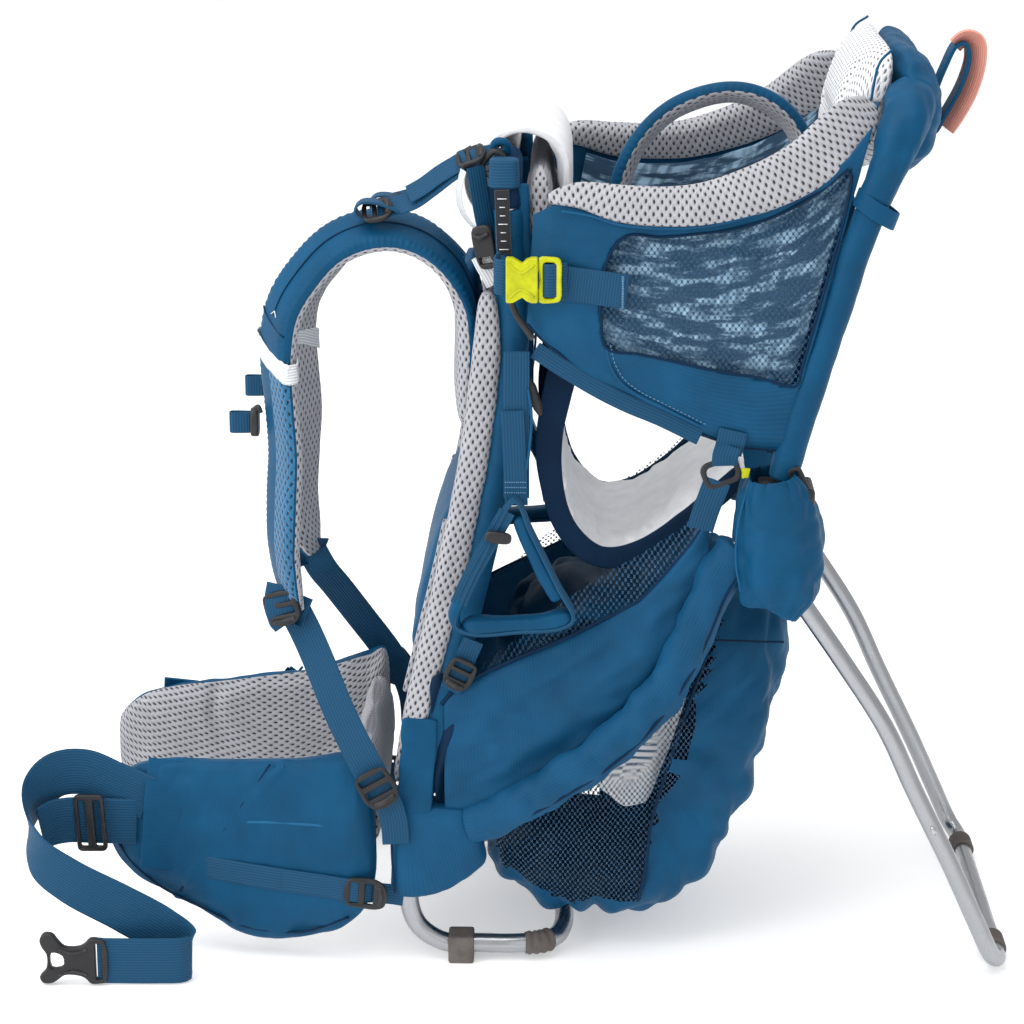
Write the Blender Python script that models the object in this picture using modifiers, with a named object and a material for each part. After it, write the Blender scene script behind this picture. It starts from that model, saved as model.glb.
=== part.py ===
"""Framed baby carrier backpack, standing on its base loop and its open kickstand.

Frame: +X points rearward (the wearer faces -X), -Y is the wearer's left, +Z is up and the floor
is Z = 0. The origin is below the middle of the object. Lengths are in metres.
"""

import math

import bmesh
import bpy
import numpy as np
from mathutils import Matrix, Vector

# ---------------------------------------------------------------- driving dimensions
GAP = 0.0004                  # clearance between touching pieces
SIDES = (("left", -1), ("right", 1))

FRAME_HALF = 0.110            # main frame tube, centre to the middle plane
FRAME_R = 0.0075
BASE_Z = 0.0135               # centre height of the base loop
BASE_REAR_X = 0.033
TOP_X, TOP_Z = -0.009, 0.628  # top crossbar
SLEEVE_R = 0.0115             # fabric sleeve round an upright

HOOP_HALF = 0.140             # rear hoop and kickstand, centre to the middle plane
HOOP_R = 0.0075
HOOP_FABRIC_R = 0.0135        # room that the hoop's fabric sleeve needs
RAIL_R = 0.006
RAIL_SLEEVE_R = 0.013

PIVOT = Vector((0.197, 0.0, 0.330))      # kickstand pivot
LEG_R = 0.007
FOOT_X, FOOT_Z = 0.3715, 0.0100          # kickstand crossbar
PIN_R, PIN_BORE = 0.003, 0.0031

WEB_HIP, WEB_SHOULDER, WEB_LIFTER = 0.038, 0.025, 0.018   # webbing widths
WEB_THICK = 0.002
STRAP_WIDE, STRAP_THICK = 0.050, 0.015   # padded shoulder strap
RIGHT_SAG = 0.026             # how much lower the right shoulder strap arches than the left one

FIN_HINGE = Vector((-0.106, 0.115, 0.1))         # hip fin fold line
STIRRUP_TOP = Vector((-0.003, 0.1365, 0.497))    # stirrup hanger seam
LOOP_BASE = Vector((0.3055, 0.0, 0.636))         # grab loop seam
MALE_HINGE = Vector((-0.3165, -0.163, 0.0203))   # hip buckle halves on their webbing ends
FEMALE_HINGE = Vector((-0.1485, 0.153, 0.0203))
BACK_AXIS = Vector((0.16, 0.0, 0.987)).normalized()   # the shoulder harness slides along the back
SIDE_BUCKLE = Vector((0.0, -0.151, 0.5525))      # middle of the side entry buckle's female half

# Centre lines of the upright and of the rear hoop: X at each height, bottom to top.
UPRIGHT = ((0.055, -0.087), (0.100, -0.079), (0.166, -0.070), (0.224, -0.056), (0.328, -0.031),
           (0.391, -0.018), (0.453, -0.009), (0.506, -0.005), (0.560, -0.007), (0.610, -0.009))
HOOP = ((0.4008, 0.193), (0.446, 0.205), (0.492, 0.218), (0.536, 0.231), (0.580, 0.244), (0.617, 0.257))

# ---------------------------------------------------------------- materials: colour, roughness, metallic
FABRIC = ((0.05, 0.20, 0.40), 0.85, 0.0)
DARK_FABRIC = ((0.02, 0.07, 0.17), 0.85, 0.0)
SPACER_MESH = ((0.60, 0.60, 0.64), 0.9, 0.0)
WHITE_FABRIC = ((0.86, 0.87, 0.88), 0.85, 0.0)
WEBBING = ((0.08, 0.25, 0.45), 0.8, 0.0)
CORAL_WEBBING = ((0.95, 0.42, 0.34), 0.8, 0.0)
ALUMINIUM = ((0.72, 0.73, 0.75), 0.35, 1.0)
STEEL = ((0.55, 0.56, 0.58), 0.3, 1.0)
BLACK_PLASTIC = ((0.02, 0.02, 0.022), 0.45, 0.0)
LIME_PLASTIC = ((0.72, 0.80, 0.02), 0.4, 0.0)
RUBBER = ((0.16, 0.14, 0.13), 0.8, 0.0)


# ---------------------------------------------------------------- scene bookkeeping
def clear_scene():
    for obj in list(bpy.data.objects):
        bpy.data.objects.remove(obj, do_unlink=True)


def collection(name):
    made = bpy.data.collections.new(name)
    bpy.context.scene.collection.children.link(made)
    return made


def piece(obj, look, smooth_angle=40.0):
    """Puts a sub-part in the object's collection with a material of its own."""
    colour, roughness, metallic = look
    made = bpy.data.materials.new(obj.name + "_material")
    made.use_nodes = True
    shader = made.node_tree.nodes["Principled BSDF"]
    shader.inputs["Base Color"].default_value = (*colour, 1.0)
    shader.inputs["Roughness"].default_value = roughness
    shader.inputs["Metallic"].default_value = metallic
    obj.data.materials.append(made)
    if obj.type == "MESH":
        obj.data.shade_smooth()
        obj.data.set_sharp_from_angle(angle=math.radians(smooth_angle))
    PARTS.objects.link(obj)
    return obj


def cutter(obj):
    """Keeps a helper out of renders and of the parts."""
    CUTTERS.objects.link(obj)
    obj.hide_render = True
    obj.display_type = "WIRE"
    return obj


def cut(obj, *tools, operation="DIFFERENCE"):
    for tool in tools:
        modifier = obj.modifiers.new("Cut " + tool.name, "BOOLEAN")
        modifier.operation = operation
        modifier.object = tool
    return obj


def axis_empty(name, place):
    """An empty on a joint's axis, to carry the pieces that move about it."""
    empty = bpy.data.objects.new(name, None)
    empty.location = place
    PARTS.objects.link(empty)
    return empty


def hang(empty, *objects):
    """Parents pieces to a joint's empty, with their origins on the axis."""
    for obj in objects:
        obj.data.transform(Matrix.Translation(obj.location - empty.location))
        obj.location = (0, 0, 0)
        obj.parent = empty


# ---------------------------------------------------------------- shape helpers
def table(rows, at):
    """Straight-line value of a two-column table of (place, value)."""
    places, values = zip(*rows)
    return float(np.interp(at, places, values))


def upright_x(z):
    return table(UPRIGHT, z)


def hoop_x(z):
    return table(HOOP, z)


def smooth(points, steps, closed=False):
    """A smooth curve through rows of numbers whose first three are the place."""
    rows = np.array(points, float)
    if closed:
        rows = np.vstack([rows[-1], rows, rows[0], rows[1]])
    else:
        rows = np.vstack([2 * rows[0] - rows[1], rows, 2 * rows[-1] - rows[-2]])
    curve = []
    for p0, p1, p2, p3 in zip(rows, rows[1:], rows[2:], rows[3:]):
        d0, d1, d2 = (np.linalg.norm((b - a)[:3]) ** 0.5 for a, b in ((p0, p1), (p1, p2), (p2, p3)))
        leave = ((p1 - p0) / d0 - (p2 - p0) / (d0 + d1) + (p2 - p1) / d1) * d1
        arrive = ((p2 - p1) / d1 - (p3 - p1) / (d1 + d2) + (p3 - p2) / d2) * d1
        for step in range(steps):
            t = step / steps
            curve.append((2 * t**3 - 3 * t * t + 1) * p1 + (t**3 - 2 * t * t + t) * leave
                         + (3 * t * t - 2 * t**3) * p2 + (t**3 - t * t) * arrive)
    if not closed:
        curve.append(rows[-2])
    return curve


def tube(name, points, radius, closed=False, resolution=3):
    """A round bar along a polyline, as a curve with filled caps."""
    data = bpy.data.curves.new(name, "CURVE")
    data.dimensions = "3D"
    data.bevel_depth = radius
    data.bevel_resolution = resolution
    data.use_fill_caps = True
    spline = data.splines.new("POLY")
    spline.points.add(len(points) - 1)
    for place, p in zip(spline.points, points):
        place.co = (p[0], p[1], p[2], 1.0)
    spline.use_cyclic_u = closed
    spline.use_smooth = True
    return bpy.data.objects.new(name, data)


def as_mesh(curve):
    """The same shape as a closed mesh with its caps welded."""
    name, data = curve.name, curve.data
    bpy.context.scene.collection.objects.link(curve)
    bpy.context.view_layer.update()
    mesh = bpy.data.meshes.new_from_object(curve.evaluated_get(bpy.context.evaluated_depsgraph_get()))
    bpy.data.objects.remove(curve, do_unlink=True)
    bpy.data.curves.remove(data)
    bm = bmesh.new()
    bm.from_mesh(mesh)
    bmesh.ops.remove_doubles(bm, verts=bm.verts, dist=0.00001)
    bpy.data.meshes.remove(mesh)
    return from_bmesh(name, bm)


def from_bmesh(name, bm):
    bmesh.ops.recalc_face_normals(bm, faces=bm.faces)
    mesh = bpy.data.meshes.new(name)
    bm.to_mesh(mesh)
    bm.free()
    return bpy.data.objects.new(name, mesh)


def box(name, low, high, bevel=0.0):
    """A box between two corners, its edges rounded by bevel."""
    low, high = Vector(low), Vector(high)
    bm = bmesh.new()
    bmesh.ops.create_cube(bm, size=1.0)
    bmesh.ops.transform(bm, matrix=Matrix.Diagonal((*(high - low), 1.0)), verts=bm.verts)
    bmesh.ops.translate(bm, vec=(low + high) / 2, verts=bm.verts)
    obj = from_bmesh(name, bm)
    if bevel:
        modifier = obj.modifiers.new("Rounded edges", "BEVEL")
        modifier.width = bevel
        modifier.segments = 2
    return obj


def side_box(name, s, low, high, bevel=0.0):
    """A box given for the right side (+Y), placed on side s."""
    ys = sorted((s * low[1], s * high[1]))
    return box(name, (low[0], ys[0], low[2]), (high[0], ys[1], high[2]), bevel)


def cross_bar(name, centre, length, radius, segments=32):
    """A cylinder along Y."""
    bm = bmesh.new()
    bmesh.ops.create_cone(bm, cap_ends=True, segments=segments, radius1=radius, radius2=radius, depth=length)
    bmesh.ops.rotate(bm, matrix=Matrix.Rotation(math.pi / 2, 3, "X"), verts=bm.verts)
    bmesh.ops.translate(bm, vec=centre, verts=bm.verts)
    return from_bmesh(name, bm)


def plate(name, outline, y, thick, holes=()):
    """A flat outline in the XZ plane, extruded to a thickness along Y."""
    data = bpy.data.curves.new(name, "CURVE")
    data.dimensions = "2D"
    data.fill_mode = "BOTH"
    data.extrude = thick / 2
    for ring in (outline, *holes):
        spline = data.splines.new("POLY")
        spline.points.add(len(ring) - 1)
        for place, (x, z) in zip(spline.points, ring):
            place.co = (x, z, 0.0, 1.0)
        spline.use_cyclic_u = True
    obj = as_mesh(bpy.data.objects.new(name, data))
    obj.data.transform(Matrix.Translation((0, y, 0)) @ Matrix.Rotation(math.pi / 2, 4, "X"))
    return obj


def loft(name, rings, closed=False):
    """A body through unlike sections of equal count, capped at its ends unless it closes on itself."""
    bm = bmesh.new()
    loops = [[bm.verts.new(p) for p in ring] for ring in rings]
    pairs = list(zip(loops, loops[1:])) + ([(loops[-1], loops[0])] if closed else [])
    for low, high in pairs:
        for k in range(len(low)):
            bm.faces.new((low[k - 1], low[k], high[k], high[k - 1]))
    if not closed:
        bm.faces.new(loops[0])
        bm.faces.new(loops[-1])
    return from_bmesh(name, bm)


def section(centre, across, out, width, thick, corner=0.6):
    """A rounded rectangle of eight points, or a plain one of four where corner is 0."""
    w, t = width / 2, thick / 2
    c = corner * min(w, t)
    if corner:
        shape = ((c - w, -t), (w - c, -t), (w, c - t), (w, t - c), (w - c, t), (c - w, t), (-w, t - c), (-w, c - t))
    else:
        shape = ((-w, -t), (w, -t), (w, t), (-w, t))
    return [centre + across * a + out * b for a, b in shape]


def band(name, rows, across_at, corner=0.6, closed=False):
    """A strap along rows of (x, y, z, width, thickness, ...), its width turned by across_at(tangent, row)."""
    rings = []
    count = len(rows)
    for k, row in enumerate(rows):
        before = rows[k - 1] if closed or k else rows[0]
        after = rows[(k + 1) % count] if closed or k < count - 1 else rows[-1]
        tangent = Vector((after - before)[:3]).normalized()
        across = across_at(tangent, row)
        across = (across - tangent * across.dot(tangent)).normalized()
        out = across.cross(tangent).normalized()
        rings.append(section(Vector(row[:3]), across, out, row[3], row[4], corner))
    return loft(name, rings, closed)


def standing(tangent, _row):
    """Webbing that stands on edge: its width is as near to vertical as its route lets it be."""
    level = Vector((tangent.y, -tangent.x, 0.0)).normalized()
    return tangent.cross(level)


def sheet(name, place, across, along, thick):
    """A curved sheet: a grid laid over place(u, v), both from 0 to 1, and thickened about its middle."""
    bm = bmesh.new()
    bmesh.ops.create_grid(bm, x_segments=across, y_segments=along, size=0.5)
    for vertex in bm.verts:
        vertex.co = place(vertex.co.x + 0.5, vertex.co.y + 0.5)
    obj = from_bmesh(name, bm)
    modifier = obj.modifiers.new("Cloth thickness", "SOLIDIFY")
    modifier.thickness = thick
    modifier.offset = 0.0
    return obj


# ---------------------------------------------------------------- metal frame
def frame_path():
    """The closed loop of the main frame tube: crossbar, upright, base run and rear bar, then back again."""
    y = FRAME_HALF
    half = [(TOP_X, 0.0, TOP_Z), (TOP_X, y - 0.030, TOP_Z), (TOP_X, y - 0.008, TOP_Z - 0.009)]
    half += [(x, y, z) for z, x in reversed(UPRIGHT)]
    half += [(-0.080, y, 0.029), (-0.060, y, BASE_Z + 0.001), (-0.030, y, BASE_Z), (0.000, y, BASE_Z),
             (BASE_REAR_X - 0.009, y - 0.008, BASE_Z), (BASE_REAR_X, y - 0.030, BASE_Z), (BASE_REAR_X, 0.0, BASE_Z)]
    mirrored = [(x, -y_, z) for x, y_, z in reversed(half[1:-1])]
    return smooth(half + mirrored, 3, closed=True)


def rail_path(s):
    """One lower rail, from beside the upright to its socket in the pivot housing."""
    points = [(-0.0690, 0.1135, 0.113), (-0.030, 0.122, 0.121), (0.000, 0.132, 0.140), (0.031, 0.138, 0.161),
              (0.061, HOOP_HALF, 0.183), (0.091, HOOP_HALF, 0.212), (0.120, HOOP_HALF, 0.256),
              (0.149, HOOP_HALF, 0.327), (0.1695, HOOP_HALF, 0.3645)]
    return smooth([(x, s * y, z) for x, y, z in points], 3)


def hoop_path():
    """The rear hoop, from the left pivot housing over the head and down to the right one."""
    side = [(x, HOOP_HALF, z) for z, x in HOOP]
    side += [(0.268, 0.137, 0.646), (0.2765, 0.124, 0.665), (0.2805, 0.100, 0.6725), (0.281, 0.05, 0.673)]
    left = [(x, -y, z) for x, y, z in side]
    return smooth(left + [(0.281, 0.0, 0.673)] + side[::-1], 3)


def leg_path():
    """The kickstand: two bent legs and the crossbar between their feet."""
    leg = [(0.1925, 0.137, 0.3390), (0.197, 0.137, 0.330), (0.205, 0.137, 0.314), (0.240, 0.137, 0.262),
           (0.276, 0.137, 0.206), (0.300, 0.137, 0.155), (0.330, 0.137, 0.094), (0.351, 0.137, 0.048),
           (0.365, 0.134, 0.018), (FOOT_X, 0.122, FOOT_Z), (FOOT_X, 0.110, FOOT_Z)]
    left = [(x, -y, z) for x, y, z in leg]
    return smooth(left + [(FOOT_X, 0.0, FOOT_Z)] + leg[::-1], 2)


def build_frame():
    global FAT_FRAME, FAT_HOOP
    piece(tube("main_frame_tube", frame_path(), FRAME_R, closed=True), ALUMINIUM)
    piece(tube("rear_hoop_tube", hoop_path(), HOOP_R), ALUMINIUM)
    FAT_FRAME = cutter(as_mesh(tube("frame_bore", frame_path(), FRAME_R + GAP, closed=True)))
    FAT_HOOP = cutter(as_mesh(tube("hoop_bore", hoop_path(), HOOP_FABRIC_R)))
    for side, s in SIDES:
        rail = rail_path(s)
        piece(tube("lower_rail_" + side, rail, RAIL_R), ALUMINIUM)
        FAT_RAIL[s] = cutter(as_mesh(tube("rail_bore_" + side, rail, RAIL_R + GAP)))
        beyond = [2 * rail[-1] - rail[-2]]
        FAT_SLEEVE[s] = cutter(as_mesh(tube("sleeve_bore_" + side, rail[2:] + beyond, RAIL_SLEEVE_R + GAP)))
        bracket = side_box("corner_bracket_" + side, s, (-0.099, 0.0985, 0.060), (-0.031, 0.131, 0.1345), 0.006)
        cut(piece(bracket, FABRIC), FAT_FRAME, FAT_RAIL[s])
        foot = side_box("base_foot_" + side, s, (-0.056, 0.0985, 0.0), (-0.036, 0.1215, 0.0225), 0.002)
        cut(piece(foot, RUBBER), FAT_FRAME)


def build_pivots():
    """The moulded housings that join rail, hoop and kickstand leg, with the kickstand's pins."""
    px, pz = PIVOT.x, PIVOT.z
    for side, s in SIDES:
        y = 0.137
        housing = side_box("pivot_housing_" + side, s, (0.1755, y - 0.0185, 0.314), (0.2165, y + 0.0205, 0.398), 0.003)
        slot = cutter(side_box("leg_slot_" + side, s, (0.15, y - 0.0085, 0.30), (0.24, y + 0.0085, 0.349)))
        bore = cutter(cross_bar("pin_bore_" + side, (px, s * y, pz), 0.06, PIN_BORE))
        cut(piece(housing, BLACK_PLASTIC), slot, bore)
        piece(cross_bar("kickstand_pin_" + side, (px, s * (y + 0.001), pz), 0.0385, PIN_R), STEEL)


def build_kickstand():
    axis = axis_empty("kickstand_axis", PIVOT)
    bores = [bpy.data.objects["pin_bore_" + side] for side, _ in SIDES]
    legs = cut(piece(as_mesh(tube("kickstand_tube", leg_path(), LEG_R)), ALUMINIUM), *bores)
    bar = cutter(cross_bar("foot_bar_bore", (FOOT_X, 0.0, FOOT_Z), 0.3, LEG_R + GAP))
    feet = []
    for side, s in SIDES:
        foot = side_box("kickstand_foot_" + side, s, (FOOT_X - 0.0098, 0.088, 0.0), (FOOT_X + 0.0098, 0.108, 0.0198), 0.003)
        feet.append(cut(piece(foot, RUBBER), bar))
    hang(axis, legs, *feet)


def build_sleeves():
    """Fabric sleeves round the uprights and the lower rails."""
    for side, s in SIDES:
        path = smooth([(upright_x(z), s * FRAME_HALF, z) for z in (0.142, 0.20, 0.26, 0.33, 0.39, 0.45, 0.51, 0.56, 0.598)], 2)
        cut(piece(as_mesh(tube("upright_sleeve_" + side, path, SLEEVE_R)), FABRIC), FAT_FRAME)
        sleeve = as_mesh(tube("rail_sleeve_" + side, rail_path(s)[4:-2], RAIL_SLEEVE_R))
        cut(piece(sleeve, FABRIC), FAT_RAIL[s])


def build_pivot_covers():
    """Fabric hoods over the pivot housings, open below for the legs."""
    for side, s in SIDES:
        hood = side_box("pivot_cover_" + side, s, (0.1600, 0.1140, 0.304), (0.2275, 0.1660, 0.4045), 0.0034)
        room = cutter(side_box("hood_room_" + side, s, (0.1735, 0.1178, 0.28), (0.2235, 0.1582, 0.4008)))
        cut(piece(hood, FABRIC), room, FAT_HOOP, FAT_SLEEVE[s])


# ---------------------------------------------------------------- back system
def upright_pad(name, ys, front_at, back_at, heights, look):
    """A pad that follows the uprights: X from front_at(z) to back_at(z) between two Y values."""
    rings = []
    for z in heights:
        front, back = front_at(z), back_at(z)
        centre = Vector(((front + back) / 2, (ys[0] + ys[1]) / 2, z))
        rings.append(section(centre, Vector((0, 1, 0)), Vector((1, 0, 0)), abs(ys[1] - ys[0]), back - front))
    return piece(loft(name, rings), look)


def build_back():
    behind = SLEEVE_R + 0.001
    for side, s in SIDES:
        upright_pad("back_pad_" + side, (s * 0.0975, s * 0.1225), lambda z: upright_x(z) - behind - 0.018,
                    lambda z: upright_x(z) - behind, (0.150, 0.20, 0.25, 0.30, 0.36, 0.42, 0.48, 0.535), SPACER_MESH)
    bulge = ((0.20, 0.0205), (0.34, 0.0205), (0.383, 0.0), (0.60, 0.0))
    upright_pad("back_panel", (-0.0965, 0.0965), lambda z: upright_x(z) - 0.0125 - table(bulge, z),
                lambda z: upright_x(z) - 0.0045, (0.200, 0.26, 0.34, 0.383, 0.42, 0.48, 0.53, 0.585), FABRIC)
    upright_pad("chest_pad", (-0.112, 0.112), lambda z: upright_x(z) + 0.0125, lambda z: upright_x(z) + 0.034,
                (0.500, 0.54, 0.585, 0.623), SPACER_MESH)
    rows = [(-0.119, 0.0, 0.080, 0.150, 0.018), (-0.120, 0.0, 0.10, 0.180, 0.026),
            (-0.120, 0.0, 0.167, 0.180, 0.026), (-0.119, 0.0, 0.187, 0.165, 0.018)]
    pad = band("lumbar_pad", [np.array(row) for row in rows], lambda _t, _r: Vector((0, 1, 0)))
    piece(pad, SPACER_MESH)


def build_chin_pad():
    """The drool pad folded over the top crossbar."""
    outer, thick = 0.0345, 0.009
    middle = outer - thick / 2
    arc = [(0.002 - middle * math.cos(a), 0.0, 0.6195 + middle * math.sin(a))
           for a in (math.radians(18 * k) for k in range(11))]
    path = [(0.002 - middle + 0.001, 0.0, 0.596), *arc, (0.002 + middle, 0.0, 0.590)]
    rows = [np.array((*p, 0.156, thick)) for p in path]
    piece(band("chin_pad", rows, lambda _t, _r: Vector((0, 1, 0)), corner=0.8), WHITE_FABRIC)


# ---------------------------------------------------------------- child's cockpit
def build_cockpit():
    low = ((0.0, 0.500), (0.1, 0.479), (0.3, 0.468), (0.6, 0.446), (0.85, 0.428), (1.0, 0.430))
    high = ((0.0, 0.594), (0.1, 0.600), (0.3, 0.590), (0.5, 0.583), (0.75, 0.589), (0.9, 0.599), (1.0, 0.612))
    bulge = ((0.0, 0.130), (0.2, 0.141), (0.5, 0.147), (0.8, 0.146), (1.0, 0.142))
    rim = [(0.022, 0.134, 0.6045, 0.012, 0.012), (0.040, 0.137, 0.6085, 0.017, 0.016),
           (0.086, 0.141, 0.6055, 0.024, 0.016), (0.130, 0.143, 0.6035, 0.030, 0.016),
           (0.172, 0.142, 0.6130, 0.034, 0.016), (0.206, 0.137, 0.6290, 0.038, 0.016),
           (0.226, 0.130, 0.6440, 0.042, 0.015), (0.238, 0.121, 0.6560, 0.044, 0.013)]
    for side, s in SIDES:
        def wall(u, v, s=s):
            z = table(low, u) + (table(high, u) - table(low, u)) * v
            rear = hoop_x(z) - 0.0165
            return Vector((0.016 + (rear - 0.016) * u, s * table(bulge, u), z))
        piece(sheet("cockpit_panel_" + side, wall, 12, 4, 0.004), FABRIC)
        rows = smooth([(x, s * y, z, h, t) for x, y, z, h, t in rim], 2)
        pad = band("rim_pad_" + side, rows, lambda _t, _r: Vector((0, 0, 1)))
        piece(pad, SPACER_MESH)


def build_headrest():
    front = ((0.230, 0.622), (0.231, 0.645), (0.237, 0.668), (0.247, 0.692), (0.262, 0.7075), (0.2725, 0.708),
             (0.2655, 0.668), (0.2550, 0.6155))
    back = ((0.2575, 0.6145), (0.2675, 0.667), (0.2745, 0.7085), (0.288, 0.7035), (0.300, 0.685), (0.3030, 0.660),
            (0.298, 0.636), (0.284, 0.618))
    for name, outline, half, look in (("headrest_pad", front, 0.100, SPACER_MESH), ("headrest_cover", back, 0.104, FABRIC)):
        cx, cz = (sum(values) / len(values) for values in zip(*outline))
        rings = []
        for y, scale in ((-1.0, 0.72), (-0.9, 0.93), (-0.55, 1.0), (0.0, 1.0), (0.55, 1.0), (0.9, 0.93), (1.0, 0.72)):
            rings.append([(cx + (x - cx) * scale, y * half, cz + (z - cz) * scale) for x, z in outline])
        body = piece(loft(name, rings), look)
        if name == "headrest_cover":
            bar = cutter(as_mesh(tube("headrest_bore", hoop_path(), HOOP_R + GAP)))
            cut(body, bar)


def build_seat():
    """The seat sling between the legs, the seat back on the hoop and the child's shoulder pad."""
    sling = [(0.034, 0.470), (0.024, 0.430), (0.023, 0.390), (0.034, 0.350), (0.060, 0.325), (0.092, 0.330),
             (0.128, 0.356), (0.158, 0.385), (0.171, 0.398)]
    wide = (0.190, 0.190, 0.190, 0.186, 0.176, 0.172, 0.176, 0.186, 0.190)
    rows = smooth([(x, 0.0, z, w, 0.012) for (x, z), w in zip(sling, wide)], 2)
    piece(band("seat_sling", rows, lambda _t, _r: Vector((0, 1, 0)), corner=0.8), WHITE_FABRIC)
    upright = [(hoop_x(z) - 0.011, 0.0, z, 0.248, 0.009) for z in (0.412, 0.46, 0.51, 0.56, 0.608)]
    piece(band("seat_back", [np.array(row) for row in upright], lambda _t, _r: Vector((0, 1, 0))), FABRIC)
    arch = [(0.069, 0.530), (0.071, 0.570), (0.075, 0.606), (0.089, 0.635), (0.113, 0.658), (0.145, 0.6705),
            (0.170, 0.6690), (0.193, 0.657), (0.208, 0.636), (0.2145, 0.609), (0.2140, 0.580)]
    rows = smooth([(x, -0.030, z, 0.045, 0.011) for x, z in arch], 2)
    piece(band("harness_pad", rows, lambda _t, _r: Vector((0, 1, 0))), FABRIC)


def build_sides_and_bag():
    top = ((-0.058, 0.205), (-0.035, 0.240), (0.010, 0.265), (0.050, 0.290), (0.100, 0.335), (0.140, 0.380))
    bottom = ((-0.058, 0.140), (-0.030, 0.139), (0.000, 0.157), (0.031, 0.179), (0.061, 0.202), (0.091, 0.236),
              (0.120, 0.290), (0.140, 0.340))
    for side, s in SIDES:
        def wall(u, v, s=s):
            x = -0.058 + 0.196 * u
            z = table(bottom, x) + (table(top, x) - table(bottom, x)) * v
            return Vector((x, s * (0.1222 + 0.012 * u), z))
        panel = piece(sheet("side_panel_" + side, wall, 14, 3, 0.0025), FABRIC)
        cut(panel, FAT_SLEEVE[s])
    outline = [(-0.026, 0.070), (-0.012, 0.044), (0.014, 0.032), (0.064, 0.024), (0.108, 0.030), (0.140, 0.058),
               (0.163, 0.092), (0.190, 0.155), (0.204, 0.225), (0.208, 0.262), (0.200, 0.290), (0.165, 0.296),
               (0.095, 0.288), (0.030, 0.272), (-0.020, 0.232), (-0.027, 0.150)]
    cx, cz = 0.085, 0.170
    rings = []
    for y, scale, lift in ((-0.105, 0.86, 0.006), (-0.098, 0.95, 0.003), (-0.075, 0.99, 0.001), (0.0, 1.0, 0.0),
                           (0.075, 0.99, 0.001), (0.098, 0.95, 0.003), (0.105, 0.86, 0.006)):
        rings.append([(cx + (x - cx) * scale, y, cz + (z - cz) * scale + lift) for x, z in outline])
    piece(loft("storage_bag", rings), FABRIC)


def build_side_buckle():
    """The side entry buckle: a hollow female half, and a male half with two prongs that pulls out along +X."""
    x, y, z = SIDE_BUCKLE
    female = box("side_buckle_female", (x - 0.010, y - 0.005, z - 0.0165), (x + 0.013, y + 0.005, z + 0.0165), 0.0015)
    mouth = cutter(box("female_mouth", (x - 0.007, y - 0.0032, z - 0.0135), (x + 0.02, y + 0.0032, z + 0.0135)))
    cut(piece(female, LIME_PLASTIC), mouth)
    outline = [(0.0135, -0.0165), (0.0285, -0.0165), (0.0285, 0.0165), (0.0135, 0.0165), (0.0135, 0.012),
               (-0.004, 0.012), (-0.004, 0.006), (0.0135, 0.004), (0.0135, -0.004), (-0.004, -0.006),
               (-0.004, -0.012), (0.0135, -0.012)]
    slot = [(0.0175, -0.0135), (0.0175, 0.0135), (0.0250, 0.0135), (0.0250, -0.0135)]
    male = piece(plate("side_buckle_male", [(x + a, z + b) for a, b in outline], y, 0.0055,
                       holes=([(x + a, z + b) for a, b in slot],)), LIME_PLASTIC)
    hang(axis_empty("side_buckle_axis", (x + 0.0135, y, z)), male)


def build_grab_loop():
    """The hand loop sewn behind the headrest."""
    x, z = LOOP_BASE.x, LOOP_BASE.z
    outline = [(0.000, 0.000), (0.0035, 0.026), (0.0115, 0.050), (0.0195, 0.0665), (0.0265, 0.0665),
               (0.0290, 0.056), (0.0235, 0.036), (0.0125, 0.014), (0.0055, 0.001)]
    rows = smooth([(x + a, 0.0, z + b, 0.026, 0.0025) for a, b in outline], 2, closed=True)
    loop = band("rear_grab_loop", rows, lambda _t, _r: Vector((0, 1, 0)), corner=0, closed=True)
    hang(axis_empty("grab_loop_axis", LOOP_BASE), piece(loop, WEBBING))


# ---------------------------------------------------------------- wearer's harness
def sag(s, x, z):
    """How much lower the right strap lies than the left one, nothing at its two ends."""
    if s < 0:
        return 0.0
    low, high = (0.440, 0.548) if x > -0.06 else (0.363, 0.542)
    return RIGHT_SAG * min(1.0, max(0.0, (z - low) / (high - low)))


def strap_rows(s):
    """The shoulder strap's centre line from its lower rear end, over the shoulder, to its front end."""
    rows = [(-0.0425, 0.070, 0.423, 0.75, 0.7, -6), (-0.0420, 0.070, 0.440, 1.0, 1.0, -6),
            (-0.0405, 0.070, 0.496, 1.0, 1.0, -6), (-0.0430, 0.070, 0.523, 1.0, 1.0, 0),
            (-0.0540, 0.071, 0.548, 1.0, 1.0, 10), (-0.0720, 0.072, 0.565, 1.0, 1.0, 17),
            (-0.0940, 0.073, 0.573, 1.0, 1.0, 20), (-0.1170, 0.074, 0.572, 1.0, 1.0, 22),
            (-0.1400, 0.075, 0.562, 1.0, 1.0, 24), (-0.1600, 0.076, 0.542, 1.0, 1.0, 26),
            (-0.1770, 0.076, 0.515, 1.0, 1.0, 28), (-0.1830, 0.076, 0.484, 1.0, 0.9, 30),
            (-0.1810, 0.076, 0.442, 0.95, 0.8, 30), (-0.1790, 0.076, 0.402, 0.95, 0.8, 30),
            (-0.1810, 0.076, 0.363, 0.95, 0.8, 30), (-0.1820, 0.075, 0.323, 0.9, 0.8, 28),
            (-0.1770, 0.074, 0.292, 0.8, 0.8, 24), (-0.1700, 0.073, 0.274, 0.5, 0.7, 20)]
    return smooth([(x, s * y, z - sag(s, x, z), w * STRAP_WIDE, t * STRAP_THICK, a) for x, y, z, w, t, a in rows], 2)


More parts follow.
